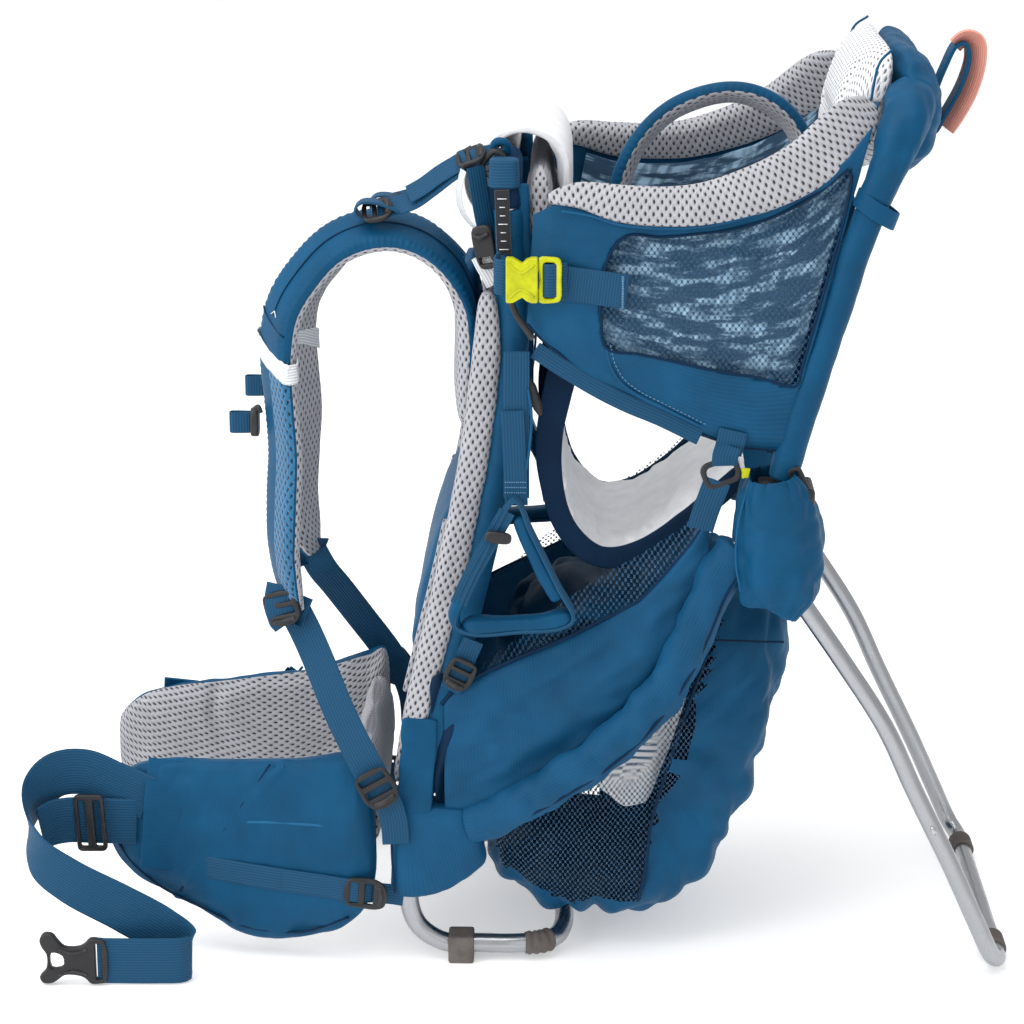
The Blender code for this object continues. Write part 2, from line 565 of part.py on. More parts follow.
def build_shoulder_harness():
    axis = axis_empty("shoulder_harness_axis", (-0.045, 0.0, 0.50))
    for side, s in SIDES:
        def across(tangent, row, s=s):
            outward = Vector((tangent.z, 0.0, -tangent.x)).normalized()
            turn = math.radians(row[5])
            return Vector((0, s, 0)) * math.cos(turn) - outward * math.sin(turn)
        strap = piece(band("shoulder_strap_" + side, strap_rows(s), across), FABRIC)
        hang(axis, strap)
        slider = side_box("sternum_slider_" + side, s, (-0.2105, 0.048, 0.414), (-0.2000, 0.066, 0.440), 0.002)
        hang(axis_empty("sternum_axis_" + side, (-0.2050, s * 0.057, 0.427)), piece(slider, BLACK_PLASTIC))
    rings = [[Vector((x, y, z)) for x, y in ((-0.046, -0.042), (-0.034, -0.042), (-0.034, 0.042), (-0.046, 0.042))]
             for z in (0.432, 0.54)]
    hang(axis, piece(loft("yoke_plate", rings), FABRIC))


def build_webbing():
    for side, s in SIDES:
        lifter = [(-0.112, 0.082, 0.5930), (-0.095, 0.084, 0.5975), (-0.070, 0.086, 0.6080), (-0.045, 0.088, 0.6215),
                  (-0.0215, 0.088, 0.6300)]
        drop = RIGHT_SAG if s > 0 else 0.0
        rows = smooth([(x, s * y, z - drop, WEB_LIFTER, WEB_THICK) for x, y, z in lifter], 2)
        piece(band("load_lifter_" + side, rows, lambda _t, _r: Vector((0, 1, 0)), corner=0), WEBBING)
        lower = [(-0.1660, 0.078, 0.2600), (-0.1560, 0.092, 0.2420), (-0.1380, 0.116, 0.2070), (-0.1180, 0.1325, 0.1720),
                 (-0.1030, 0.1355, 0.1480)]
        rows = smooth([(x, s * y, z, WEB_SHOULDER, WEB_THICK) for x, y, z in lower], 2)
        piece(band("lower_strap_" + side, rows, lambda _t, _r: Vector((0.87, 0, 0.5)), corner=0), WEBBING)


def build_hip_belt():
    fin = [(-0.1120, 0.1150, 0.062, 0.180, 0.018), (-0.1300, 0.1135, 0.032, 0.176, 0.023),
           (-0.1700, 0.1060, 0.014, 0.167, 0.025), (-0.2140, 0.0980, 0.013, 0.163, 0.026),
           (-0.2500, 0.0910, 0.030, 0.160, 0.025), (-0.2800, 0.0860, 0.044, 0.157, 0.023),
           (-0.3050, 0.0820, 0.058, 0.149, 0.019), (-0.3250, 0.0790, 0.085, 0.130, 0.012)]
    near = [(-0.290, 0.0975, 0.128), (-0.315, 0.0945, 0.138), (-0.340, 0.0935, 0.148), (-0.362, 0.099, 0.147),
            (-0.376, 0.110, 0.133), (-0.3785, 0.126, 0.113), (-0.368, 0.141, 0.095), (-0.345, 0.149, 0.080),
            (-0.305, 0.150, 0.058), (-0.275, 0.147, 0.038), (-0.258, 0.148, 0.024), (-0.2535, 0.154, 0.0207),
            (-0.258, 0.1605, 0.0203), (-0.280, 0.163, 0.0203), (-0.3125, 0.163, 0.0203)]
    far = [(-0.282, 0.1020, 0.104), (-0.262, 0.1080, 0.086), (-0.235, 0.120, 0.060), (-0.205, 0.135, 0.034),
           (-0.178, 0.147, 0.0213), (-0.1525, 0.153, 0.0203)]
    for side, s in SIDES:
        rings = []
        reach = 1.0 if side == "left" else 1.07
        for x, y, low, high, thick in fin:
            centre = Vector((FIN_HINGE.x + (x - FIN_HINGE.x) * reach, s * y, (low + high) / 2))
            rings.append(section(centre, Vector((0, 0, 1)), Vector((0, 1, 0)), high - low, thick, 0.9))
        pad = piece(loft("hip_fin_" + side, rings), FABRIC)
        route = near if side == "left" else far
        rows = smooth([(x, s * y, z, WEB_HIP, WEB_THICK) for x, y, z in route], 3)
        belt = piece(band("hip_belt_" + side, rows, standing, corner=0), WEBBING)
        hang(axis_empty("hip_fin_axis_" + side, (FIN_HINGE.x, s * FIN_HINGE.y, FIN_HINGE.z)), pad, belt)


def build_hip_buckles():
    """The male half is a plate with four lobes; the female half is a hollow body."""
    x, y, z = MALE_HINGE
    outline = [(-0.001, -0.0185), (-0.012, -0.0190), (-0.022, -0.0120), (-0.034, -0.0115), (-0.042, -0.0185),
               (-0.0505, -0.0185), (-0.0525, -0.0130), (-0.0465, -0.0060), (-0.0465, 0.0080), (-0.0515, 0.0160),
               (-0.0485, 0.0230), (-0.0405, 0.0225), (-0.034, 0.0125), (-0.022, 0.0115), (-0.012, 0.0190),
               (-0.001, 0.0185)]
    slot = [(-0.0085, -0.0150), (-0.0040, -0.0150), (-0.0040, 0.0150), (-0.0085, 0.0150)]
    male = piece(plate("hip_buckle_male", [(x + a, z + b) for a, b in outline], y, 0.007,
                       holes=([(x + a, z + b) for a, b in slot],)), BLACK_PLASTIC)
    hang(axis_empty("hip_buckle_male_axis", MALE_HINGE), male)
    x, y, z = FEMALE_HINGE
    female = box("hip_buckle_female", (x + 0.001, y - 0.006, z - 0.0185), (x + 0.050, y + 0.006, z + 0.0185), 0.002)
    mouth = cutter(box("hip_mouth", (x + 0.012, y - 0.004, z - 0.0155), (x + 0.06, y + 0.004, z + 0.0155)))
    cut(piece(female, BLACK_PLASTIC), mouth)
    hang(axis_empty("hip_buckle_female_axis", FEMALE_HINGE), female)


def build_stirrups():
    """Foot stirrups: a webbing hanger and a padded triangular loop."""
    corners = [(-0.0035, 0.388), (-0.026, 0.345), (-0.047, 0.300), (-0.050, 0.287), (-0.036, 0.281), (0.000, 0.283),
               (0.032, 0.286), (0.041, 0.293), (0.028, 0.320), (0.008, 0.362)]
    for side, s in SIDES:
        y = s * 0.1430
        rows = smooth([(x, y, z, 0.018, 0.004) for x, z in corners], 2, closed=True)
        loop = band("foot_stirrup_" + side, rows, lambda _t, _r: Vector((0, 1, 0)), corner=0, closed=True)
        hanger = cutter(side_box("stirrup_hanger_" + side, s, (-0.0125, 0.1350, 0.386), (0.0075, 0.1380, 0.4965)))
        cut(piece(loop, WEBBING), hanger, operation="UNION")
        place = Vector((STIRRUP_TOP.x, s * STIRRUP_TOP.y, STIRRUP_TOP.z))
        hang(axis_empty("stirrup_axis_" + side, place), loop)


clear_scene()
PARTS = collection("Baby carrier backpack")
CUTTERS = collection("Cutters")
FAT_RAIL, FAT_SLEEVE = {}, {}
build_frame()
build_pivots()
build_kickstand()
build_sleeves()
build_pivot_covers()
build_back()
build_chin_pad()
build_cockpit()
build_headrest()
build_seat()
build_sides_and_bag()
build_side_buckle()
build_grab_loop()
build_shoulder_harness()
build_webbing()
build_hip_belt()
build_hip_buckles()
build_stirrups()
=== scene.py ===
"""Looks of the framed baby carrier backpack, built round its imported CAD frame.

The frame's axes hold here too: +X points rearward (the wearer faces -X), -Y is the wearer's left,
+Z is up and the floor is Z = 0. Lengths are in metres. Soft pieces are grids of places with their
texture coordinates in metres, so that one set of cloth materials has the right scale on all of them.
"""

import math

import bmesh
import bpy
import numpy as np
from mathutils import Matrix, Vector, noise


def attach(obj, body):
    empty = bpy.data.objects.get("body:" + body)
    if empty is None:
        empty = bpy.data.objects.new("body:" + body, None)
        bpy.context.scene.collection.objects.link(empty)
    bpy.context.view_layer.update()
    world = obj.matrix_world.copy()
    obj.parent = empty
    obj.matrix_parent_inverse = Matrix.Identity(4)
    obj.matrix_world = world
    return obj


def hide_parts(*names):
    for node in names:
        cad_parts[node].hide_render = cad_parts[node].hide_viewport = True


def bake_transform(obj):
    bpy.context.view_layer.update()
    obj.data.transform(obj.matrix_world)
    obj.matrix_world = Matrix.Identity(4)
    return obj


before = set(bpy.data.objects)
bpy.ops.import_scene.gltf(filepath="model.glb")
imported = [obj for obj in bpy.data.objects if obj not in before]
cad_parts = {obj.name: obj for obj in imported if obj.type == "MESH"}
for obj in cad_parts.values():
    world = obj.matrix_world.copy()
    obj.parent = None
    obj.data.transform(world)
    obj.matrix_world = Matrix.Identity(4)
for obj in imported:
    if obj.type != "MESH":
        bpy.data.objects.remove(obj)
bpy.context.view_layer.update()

# ---------------------------------------------------------------- driving dimensions
SIDES = (("left", -1), ("right", 1))

FRAME_HALF = 0.110            # main frame tube, centre to the middle plane
FRAME_R = 0.0075
BASE_Z = 0.0135
BASE_REAR_X = 0.033
TOP_X, TOP_Z = -0.009, 0.628
SLEEVE_R = 0.0115             # fabric sleeve round an upright

HOOP_HALF = 0.140
HOOP_R = 0.0075
HOOP_SLEEVE_R = 0.0112
RAIL_R = 0.006
RAIL_SLEEVE_R = 0.0128
LEG_R = 0.007
FOOT_X, FOOT_Z = 0.3715, 0.0100

WEB_HIP, WEB_SHOULDER, WEB_LIFTER, WEB_NARROW = 0.038, 0.025, 0.018, 0.015
WEB_THICK = 0.0018
STRAP_WIDE, STRAP_THICK = 0.050, 0.015
RIGHT_SAG = 0.026             # how much lower the right shoulder strap arches than the left one

FIN_HINGE = Vector((-0.106, 0.115, 0.1))
LOOP_BASE = Vector((0.3055, 0.0, 0.636))
MALE_HINGE = Vector((-0.3165, -0.163, 0.0203))
FEMALE_HINGE = Vector((-0.1485, 0.153, 0.0203))
SIDE_BUCKLE = Vector((0.0, -0.151, 0.5525))

# Centre lines of the upright and of the rear hoop: X at each height, bottom to top.
UPRIGHT = ((0.055, -0.087), (0.100, -0.079), (0.166, -0.070), (0.224, -0.056), (0.328, -0.031),
           (0.391, -0.018), (0.453, -0.009), (0.506, -0.005), (0.560, -0.007), (0.610, -0.009))
HOOP = ((0.4008, 0.193), (0.446, 0.205), (0.492, 0.218), (0.536, 0.231), (0.580, 0.244), (0.617, 0.257))

ALONG_Y = Vector((0.0, 1.0, 0.0))


# ---------------------------------------------------------------- material nodes
def node(tree, kind, inputs=None, **settings):
    """A shader node with its settings and inputs; an input is a value or another node's output."""
    made = tree.nodes.new("ShaderNode" + kind)
    for key, value in settings.items():
        setattr(made, key, value)
    for key, value in (inputs or {}).items():
        if isinstance(value, bpy.types.NodeSocket):
            tree.links.new(value, made.inputs[key])
        else:
            made.inputs[key].default_value = value
    return made


def maths(tree, operation, a, b=0.0, c=0.0, clamp=False):
    return node(tree, "Math", {0: a, 1: b, 2: c}, operation=operation, use_clamp=clamp).outputs[0]


def vectors(tree, operation, a, b=(0.0, 0.0, 0.0), c=(0.0, 0.0, 0.0)):
    made = node(tree, "VectorMath", {0: a, 1: b, 2: c}, operation=operation)
    return made.outputs["Value"] if operation == "LENGTH" else made.outputs["Vector"]


def ramp(tree, value, low, high, to_low=0.0, to_high=1.0):
    """Value eased from one range to another."""
    return node(tree, "MapRange", {"Value": value, "From Min": low, "From Max": high, "To Min": to_low,
                                   "To Max": to_high}, interpolation_type="SMOOTHSTEP").outputs[0]


def mix(tree, factor, a, b, blend="MIX"):
    made = node(tree, "Mix", {0: factor, 6: a, 7: b}, data_type="RGBA", blend_type=blend)
    return made.outputs[2]


def grain(tree, place, scale, detail=2.0, roughness=0.5):
    made = node(tree, "TexNoise", {"Vector": place, "Scale": scale, "Detail": detail,
                                   "Roughness": roughness})
    return made.outputs["Fac"]


def waves(tree, place, pitch):
    """A ridge every pitch metres, from 0 to 1."""
    turned = maths(tree, "MULTIPLY", place, 2 * math.pi / pitch)
    return maths(tree, "MULTIPLY_ADD", maths(tree, "SINE", turned), 0.5, 0.5)


def spots(tree, uv, pitch, size):
    """Rows of staggered ovals: 1 inside a hole of half axes size, 0 on the cloth between."""
    nearest = None
    for shift in (0.0, 0.5):
        cell = vectors(tree, "MULTIPLY_ADD", uv, (1 / pitch[0], 1 / pitch[1], 0.0), (shift, shift, 0.0))
        within = vectors(tree, "SUBTRACT", vectors(tree, "FRACTION", cell), (0.5, 0.5, 0.0))
        reach = vectors(tree, "MULTIPLY", within, (pitch[0] / size[0], pitch[1] / size[1], 0.0))
        far = vectors(tree, "LENGTH", reach)
        nearest = far if nearest is None else maths(tree, "MINIMUM", nearest, far)
    return ramp(tree, nearest, 1.15, 0.75)


def new_material(name, roughness, metallic=0.0, **constants):
    """A material with a Principled shader, its constant values set on the shader's own sockets."""
    made = bpy.data.materials.new(name)
    made.use_nodes = True
    tree = made.node_tree
    shader = tree.nodes["Principled BSDF"]
    shader.inputs["Roughness"].default_value = roughness
    shader.inputs["Metallic"].default_value = metallic
    for key, value in constants.items():
        shader.inputs[key.replace("_", " ")].default_value = value
    return made, tree, shader


def cloth_finish(tree, shader, colour, height, strength, distance, rough=None):
    tree.links.new(colour, shader.inputs["Base Color"])
    bump = node(tree, "Bump", {"Height": height, "Strength": strength, "Distance": distance})
    tree.links.new(bump.outputs[0], shader.inputs["Normal"])
    if rough is not None:
        tree.links.new(rough, shader.inputs["Roughness"])


def shade(colour, factor):
    return (*(min(1.0, c * factor) for c in colour), 1.0)


def texture_places(tree):
    """Texture coordinates in metres, then their two parts, then the place in the object."""
    places = node(tree, "TexCoord")
    parts = node(tree, "SeparateXYZ", {0: places.outputs["UV"]})
    return places.outputs["UV"], parts.outputs[0], parts.outputs[1], places.outputs["Object"]


def nylon(name, colour, rib=0.0026, along="v", gloss=0.50, sheen=0.10):
    """Woven nylon with a fine raised rib whose crests carry a painted highlight, slight tone changes and a
    dull sheen.
    """
    made, tree, shader = new_material(name, gloss, Sheen_Weight=sheen, Sheen_Roughness=0.45,
                                      Sheen_Tint=(0.08, 0.45, 0.90, 1.0), Specular_IOR_Level=0.12)
    _, u, v, place = texture_places(tree)
    across, down = (u, v) if along == "v" else (v, u)
    ribs = maths(tree, "POWER", waves(tree, down, rib), 3.0)
    weave = maths(tree, "MULTIPLY", waves(tree, across, 0.0007), waves(tree, down, 0.0007))
    fade = grain(tree, place, 26.0, 4.0, 0.55)
    fuzz = grain(tree, place, 900.0, 2.0, 0.6)
    tone = mix(tree, ramp(tree, fade, 0.25, 0.8), shade(colour, 0.84), shade(colour, 1.22))
    # Painted highlight: the rib crests are lightened.
    tone = mix(tree, maths(tree, "MULTIPLY", ribs, 0.20), tone, shade(colour, 1.8))
    tone = mix(tree, maths(tree, "MULTIPLY", weave, 0.16), tone, shade(colour, 0.45))
    height = maths(tree, "ADD", maths(tree, "MULTIPLY", ribs, 0.8), maths(tree, "MULTIPLY", weave, 0.35))
    height = maths(tree, "ADD", height, maths(tree, "MULTIPLY", fuzz, 0.25))
    rough = ramp(tree, fade, 0.2, 0.8, gloss - 0.06, gloss + 0.08)
    cloth_finish(tree, shader, tone, height, 0.32, 0.0006, rough)
    return made


def spacer_mesh(name, colour, hole=(0.030, 0.030, 0.036), turned=False):
    """Three-dimensional knit with rows of staggered oval holes; the holes and their sunken rims are painted
    dark as painted shade.
    """
    made, tree, shader = new_material(name, 0.85, Sheen_Weight=0.3, Sheen_Roughness=0.5,
                                      Sheen_Tint=(0.9, 0.92, 1.0, 1.0), Specular_IOR_Level=0.25)
    uv, u, v, place = texture_places(tree)
    pitch, size = ((0.0058, 0.0092), (0.00085, 0.0017))
    if turned:
        pitch, size = pitch[::-1], size[::-1]
    warp = node(tree, "TexNoise", {"Vector": place, "Scale": 160.0, "Detail": 1.0}).outputs["Color"]
    shaken = vectors(tree, "MULTIPLY", vectors(tree, "SUBTRACT", warp, (0.5, 0.5, 0.5)),
                     (0.0008, 0.0008, 0.0))
    holes = spots(tree, vectors(tree, "ADD", uv, shaken), pitch, size)
    rims = spots(tree, vectors(tree, "ADD", uv, shaken), pitch, (size[0] * 1.9, size[1] * 1.6))
    knit = maths(tree, "MULTIPLY", waves(tree, u, 0.00115), waves(tree, v, 0.0013))
    fade = grain(tree, place, 40.0, 3.0)
    tone = mix(tree, ramp(tree, fade, 0.3, 0.75), shade(colour, 0.93), shade(colour, 1.06))
    tone = mix(tree, maths(tree, "MULTIPLY", knit, 0.20), tone, shade(colour, 0.55))
    # Painted shade: the sunken rim round each hole is darkened.
    tone = mix(tree, maths(tree, "MULTIPLY", rims, 0.22), tone, shade(colour, 0.5))
    # Painted shade: each hole takes the dark hole colour, the shadow inside the knit.
    tone = mix(tree, holes, tone, (*hole, 1.0))
    height = maths(tree, "MULTIPLY_ADD", rims, -0.8, maths(tree, "MULTIPLY", knit, 0.35))
    height = maths(tree, "MULTIPLY_ADD", holes, -1.0, height)
    cloth_finish(tree, shader, tone, height, 0.65, 0.0011)
    return made


def open_net(name, colour, pitch=(0.0044, 0.0058), size=(0.00155, 0.0020)):
    """Open knitted net: rounded rhombic holes that let the light through."""
    made, tree, shader = new_material(name, 0.55, Sheen_Weight=0.15, Sheen_Tint=(0.5, 0.75, 1.0, 1.0),
                                      Specular_IOR_Level=0.4)
    uv, _, _, place = texture_places(tree)
    holes = spots(tree, uv, pitch, size)
    threads = spots(tree, uv, pitch, (size[0] * 1.5, size[1] * 1.5))
    fade = grain(tree, place, 30.0, 3.0)
    tone = mix(tree, ramp(tree, fade, 0.3, 0.7), shade(colour, 0.85), shade(colour, 1.25))
    # Painted shade: the sunken ring of thread round each hole is darkened.
    tone = mix(tree, maths(tree, "MULTIPLY", threads, 0.4), tone, shade(colour, 0.5))
    cloth_finish(tree, shader, tone, maths(tree, "MULTIPLY", threads, -1.0), 0.6, 0.0008)
    tree.links.new(maths(tree, "SUBTRACT", 1.0, holes), shader.inputs["Alpha"])
    return made


def shiny_lining(name, pale, deep):
    """Thin lining whose loose folds catch the light in long patches."""
    made, tree, shader = new_material(name, 0.42, Sheen_Weight=0.2, Specular_IOR_Level=0.5)
    uv, u, v, _ = texture_places(tree)
    drawn = node(tree, "Mapping", {"Vector": uv, "Scale": (26.0, 95.0, 1.0)}).outputs[0]
    patch = grain(tree, drawn, 1.0, 4.0, 0.62)
    streak = grain(tree, node(tree, "Mapping", {"Vector": uv, "Scale": (190.0, 30.0, 1.0)}).outputs[0], 1.0,
                   3.0)
    # Painted highlight: the fold patches and streaks take the pale colour over the deep blue.
    bright = maths(tree, "MULTIPLY", ramp(tree, patch, 0.47, 0.60),
                   ramp(tree, streak, 0.35, 0.62, 0.35, 1.0))
    tone = mix(tree, bright, (*deep, 1.0), (*pale, 1.0))
    weave = maths(tree, "MULTIPLY", waves(tree, u, 0.0006), waves(tree, v, 0.0006))
    cloth_finish(tree, shader, tone, maths(tree, "MULTIPLY_ADD", patch, 2.0, weave), 0.5, 0.0012)
    return made


def webbing(name, colour, cross_ribs=False):
    """Flat woven strap: lengthwise cords crossed by a fine twill, or bold ribs across its length."""
    made, tree, shader = new_material(name, 0.6, Sheen_Weight=0.10, Sheen_Roughness=0.4,
                                      Sheen_Tint=(0.3, 0.6, 1.0, 1.0), Specular_IOR_Level=0.22)
    _, u, v, place = texture_places(tree)
    if cross_ribs:
        cords = waves(tree, v, 0.0021)
        twill = waves(tree, u, 0.0009)
    else:
        cords = waves(tree, u, 0.0022)
        twill = waves(tree, maths(tree, "ADD", v, maths(tree, "MULTIPLY", cords, 0.0005)), 0.0011)
    fade = grain(tree, place, 60.0, 3.0)
    tone = mix(tree, ramp(tree, fade, 0.3, 0.7), shade(colour, 0.88), shade(colour, 1.15))
    # Painted light on the cords: the grooves between them are darkened as painted shade and the crests
    # lightened as painted highlight.
    tone = mix(tree, maths(tree, "MULTIPLY", cords, 0.38), shade(colour, 0.62), tone)
    tone = mix(tree, 0.75, tone, mix(tree, cords, shade(colour, 0.78), shade(colour, 1.32)))
    tone = mix(tree, maths(tree, "MULTIPLY", twill, 0.28), tone, shade(colour, 0.5))
    height = maths(tree, "MULTIPLY_ADD", cords, 0.9, maths(tree, "MULTIPLY", twill, 0.5))
    cloth_finish(tree, shader, tone, height, 0.45, 0.0006)
    return made


def soft_cloth(name, colour, wrinkle=60.0, gloss=0.8):
    """Smooth brushed cloth with a faint weave."""
    made, tree, shader = new_material(name, gloss, Sheen_Weight=0.4, Sheen_Roughness=0.5,
                                      Specular_IOR_Level=0.3)
    _, u, v, place = texture_places(tree)
    weave = maths(tree, "MULTIPLY", waves(tree, u, 0.0006), waves(tree, v, 0.0006))
    fade = grain(tree, place, wrinkle, 4.0, 0.6)
    tone = mix(tree, ramp(tree, fade, 0.3, 0.7), shade(colour, 0.93), shade(colour, 1.04))
    tone = mix(tree, maths(tree, "MULTIPLY", weave, 0.10), tone, shade(colour, 0.6))
    height = maths(tree, "MULTIPLY_ADD", weave, 0.4, fade)
    cloth_finish(tree, shader, tone, height, 0.35, 0.0010)
    return made


def moulded(name, colour, gloss=0.42, scratch=0.5):
    """Moulded plastic with a spark-eroded grain, and pale wear where the edges are sharp."""
    made, tree, shader = new_material(name, gloss, Specular_IOR_Level=0.32)
    place = node(tree, "TexCoord").outputs["Object"]
    fine = grain(tree, place, 2600.0, 2.0, 0.6)
    patch = grain(tree, place, 90.0, 4.0, 0.6)
    edge = ramp(tree, node(tree, "NewGeometry").outputs["Pointiness"], 0.52, 0.62)
    worn = maths(tree, "MULTIPLY", edge, ramp(tree, patch, 0.40, 0.65, 0.0, scratch))
    tone = mix(tree, ramp(tree, patch, 0.3, 0.7), shade(colour, 0.85), shade(colour, 1.15))
    tone = mix(tree, worn, tone, (*(0.5 * c + 0.12 for c in colour), 1.0))
    cloth_finish(tree, shader, tone, fine, 0.22, 0.0003, ramp(tree, patch, 0.2, 0.8, gloss - 0.07,
            gloss + 0.10))
    return made


def brushed_metal(name, colour, gloss=0.28, stretch=(900.0, 14.0, 1.0)):
    """Drawn metal: streaks along its length, soft smudges and fine scratches."""
    made, tree, shader = new_material(name, gloss, 1.0, Anisotropic=0.35, Specular_IOR_Level=0.5)
    uv, _, _, place = texture_places(tree)
    drawn = node(tree, "Mapping", {"Vector": uv, "Scale": stretch}).outputs[0]
    streaks = grain(tree, drawn, 1.0, 3.0, 0.65)
    smudge = grain(tree, place, 45.0, 4.0, 0.6)
    specks = ramp(tree, grain(tree, place, 700.0, 1.0), 0.62, 0.72)
    tone = mix(tree, streaks, shade(colour, 0.80), shade(colour, 1.12))
    tone = mix(tree, maths(tree, "MULTIPLY", specks, 0.25), tone, shade(colour, 0.55))
    rough = maths(tree, "MULTIPLY_ADD", ramp(tree, smudge, 0.3, 0.7), 0.14,
                  maths(tree, "MULTIPLY_ADD", streaks, 0.12, gloss - 0.1))
    cloth_finish(tree, shader, tone, streaks, 0.10, 0.0002, rough)
    return made


def floor_material():
    made, tree, shader = new_material("pale_floor", 0.55, Specular_IOR_Level=0.2)
    place = node(tree, "TexCoord").outputs["Object"]
    fade = grain(tree, place, 3.0, 3.0)
    tone = mix(tree, ramp(tree, fade, 0.3, 0.7), (0.90, 0.90, 0.90, 1.0), (0.93, 0.93, 0.93, 1.0))
    cloth_finish(tree, shader, tone, grain(tree, place, 400.0), 0.05, 0.0005)
    tree.links.new(tone, shader.inputs["Emission Color"])
    shader.inputs["Emission Strength"].default_value = 0.36
    return made


BLUE = (0.0045, 0.062, 0.142)
NAVY = (0.002, 0.018, 0.050)

LOOK = {
    "blue": nylon("blue_ripstop", BLUE),
    "blue_turned": nylon("blue_ripstop_turned", BLUE, along="u"),
    "blue_plain": nylon("blue_plain_nylon", (0.0020, 0.058, 0.135), rib=0.0013, gloss=0.46),
    "blue_light": nylon("blue_light_nylon", (0.012, 0.105, 0.220), rib=0.0018, gloss=0.5),
    "navy": nylon("navy_nylon", NAVY, rib=0.0018, gloss=0.6, sheen=0.08),
    "binding": nylon("binding_tape", (0.008, 0.075, 0.170), rib=0.0012, along="u", gloss=0.6),
    # Each spacer mesh's hole colour is painted shade seen inside its holes.
    "mesh": spacer_mesh("pale_spacer_mesh", (0.43, 0.432, 0.465)),
    "mesh_turned": spacer_mesh("pale_spacer_mesh_turned", (0.43, 0.432, 0.465), turned=True),
    "mesh_white": spacer_mesh("white_spacer_mesh", (0.86, 0.87, 0.90), hole=(0.16, 0.16, 0.18)),
    "mesh_blue": spacer_mesh("blue_spacer_mesh", (0.025, 0.150, 0.300), hole=(0.002, 0.016, 0.045)),
    "lining": shiny_lining("window_lining", (0.42, 0.66, 0.86), (0.004, 0.060, 0.135)),
    "net": open_net("blue_net", (0.006, 0.060, 0.135)),
    "net_fine": open_net("blue_net_fine", (0.005, 0.052, 0.120), pitch=(0.0040, 0.0056),
                         size=(0.0014, 0.0019)),
    "white": soft_cloth("white_lining", (0.90, 0.905, 0.92)),
    "grey_cloth": soft_cloth("grey_lining", (0.52, 0.53, 0.56)),
    "elastic": webbing("white_elastic", (0.72, 0.74, 0.76)),
    "web": webbing("blue_webbing", (0.004, 0.062, 0.140)),
    "web_ribbed": webbing("blue_ribbed_webbing", (0.004, 0.062, 0.140), cross_ribs=True),
    "coral": webbing("coral_webbing", (0.93, 0.36, 0.28)),
    "thread": soft_cloth("pale_thread", (0.10, 0.27, 0.45), wrinkle=300.0),
    "tick": soft_cloth("white_thread", (0.75, 0.78, 0.80), wrinkle=300.0),
    "black": moulded("black_acetal", (0.016, 0.016, 0.018)),
    "lime": moulded("lime_acetal", (0.47, 0.49, 0.0), gloss=0.36, scratch=0.12),
    "aluminium": brushed_metal("brushed_aluminium", (0.38, 0.39, 0.41)),
    "steel": brushed_metal("steel", (0.50, 0.50, 0.52), gloss=0.35),
    "rubber": moulded("grey_rubber", (0.11, 0.095, 0.088), gloss=0.75, scratch=0.3),
    "print": soft_cloth("black_print_tape", (0.012, 0.012, 0.015)),
}


# ---------------------------------------------------------------- curves and grids
def table(rows, at):
    places, values = zip(*rows)
    return float(np.interp(at, places, values))


def upright_x(z):
    return table(UPRIGHT, z)


def hoop_x(z):
    return table(HOOP, z)


def smooth(points, steps, closed=False):
    """A smooth curve through rows of numbers whose first three are the place."""
    rows = np.array(points, float)
    if closed:
        rows = np.vstack([rows[-1], rows, rows[0], rows[1]])
    else:
        rows = np.vstack([2 * rows[0] - rows[1], rows, 2 * rows[-1] - rows[-2]])
    curve = []
    for p0, p1, p2, p3 in zip(rows, rows[1:], rows[2:], rows[3:]):
        d0, d1, d2 = (np.linalg.norm((b - a)[:3]) ** 0.5 for a, b in ((p0, p1), (p1, p2), (p2, p3)))
        leave = ((p1 - p0) / d0 - (p2 - p0) / (d0 + d1) + (p2 - p1) / d1) * d1
        arrive = ((p2 - p1) / d1 - (p3 - p1) / (d1 + d2) + (p3 - p2) / d2) * d1
        for step in range(steps):
            t = step / steps
            curve.append((2 * t**3 - 3 * t * t + 1) * p1 + (t**3 - 2 * t * t + t) * leave
                         + (3 * t * t - 2 * t**3) * p2 + (t**3 - t * t) * arrive)
    if not closed:
        curve.append(rows[-2])
    return np.array(curve)


def distances(rows):
    return np.concatenate([[0.0], np.cumsum(np.linalg.norm(np.diff(rows[:, :3], axis=0), axis=1))])


def even(rows, spacing):
    """The same line with its rows spaced evenly along it."""
    rows = np.asarray(rows, float)
    along = distances(rows)
    at = np.linspace(0.0, along[-1], max(2, int(round(along[-1] / spacing)) + 1))
    return np.column_stack([np.interp(at, along, rows[:, k]) for k in range(rows.shape[1])])


def route(points, spacing, closed=False):
    """A smooth line through a few rows, evenly spaced; a closed one ends where it starts."""
    rows = smooth(points, 10, closed)
    if closed:
        rows = np.vstack([rows, rows[0]])
    return even(rows, spacing)


def unit(vectors_):
    length = np.linalg.norm(vectors_, axis=-1, keepdims=True)
    return vectors_ / np.maximum(length, 1e-12)


def tangents(rows):
    return unit(np.gradient(rows[:, :3], axis=0))


def directions(rows, across):
    """Unit across and outward directions at each row; across is one vector, a row of them or a function."""
    along = tangents(rows)
    if callable(across):
        wide = np.array([across(Vector(t), row) for t, row in zip(along, rows)], float)
    else:
        wide = np.broadcast_to(np.array(across, float), along.shape)
    wide = unit(wide - along * np.sum(wide * along, axis=1, keepdims=True))
    return along, wide, np.cross(wide, along)


def oval(count, power):
    """Points of a rounded section of half size 1: power 1 is an ellipse, towards 0 a rectangle."""
    turn = np.linspace(0, 2 * math.pi, count, endpoint=False)
    c, s = np.cos(turn), np.sin(turn)
    return np.sign(c) * np.abs(c) ** power, np.sign(s) * np.abs(s) ** power


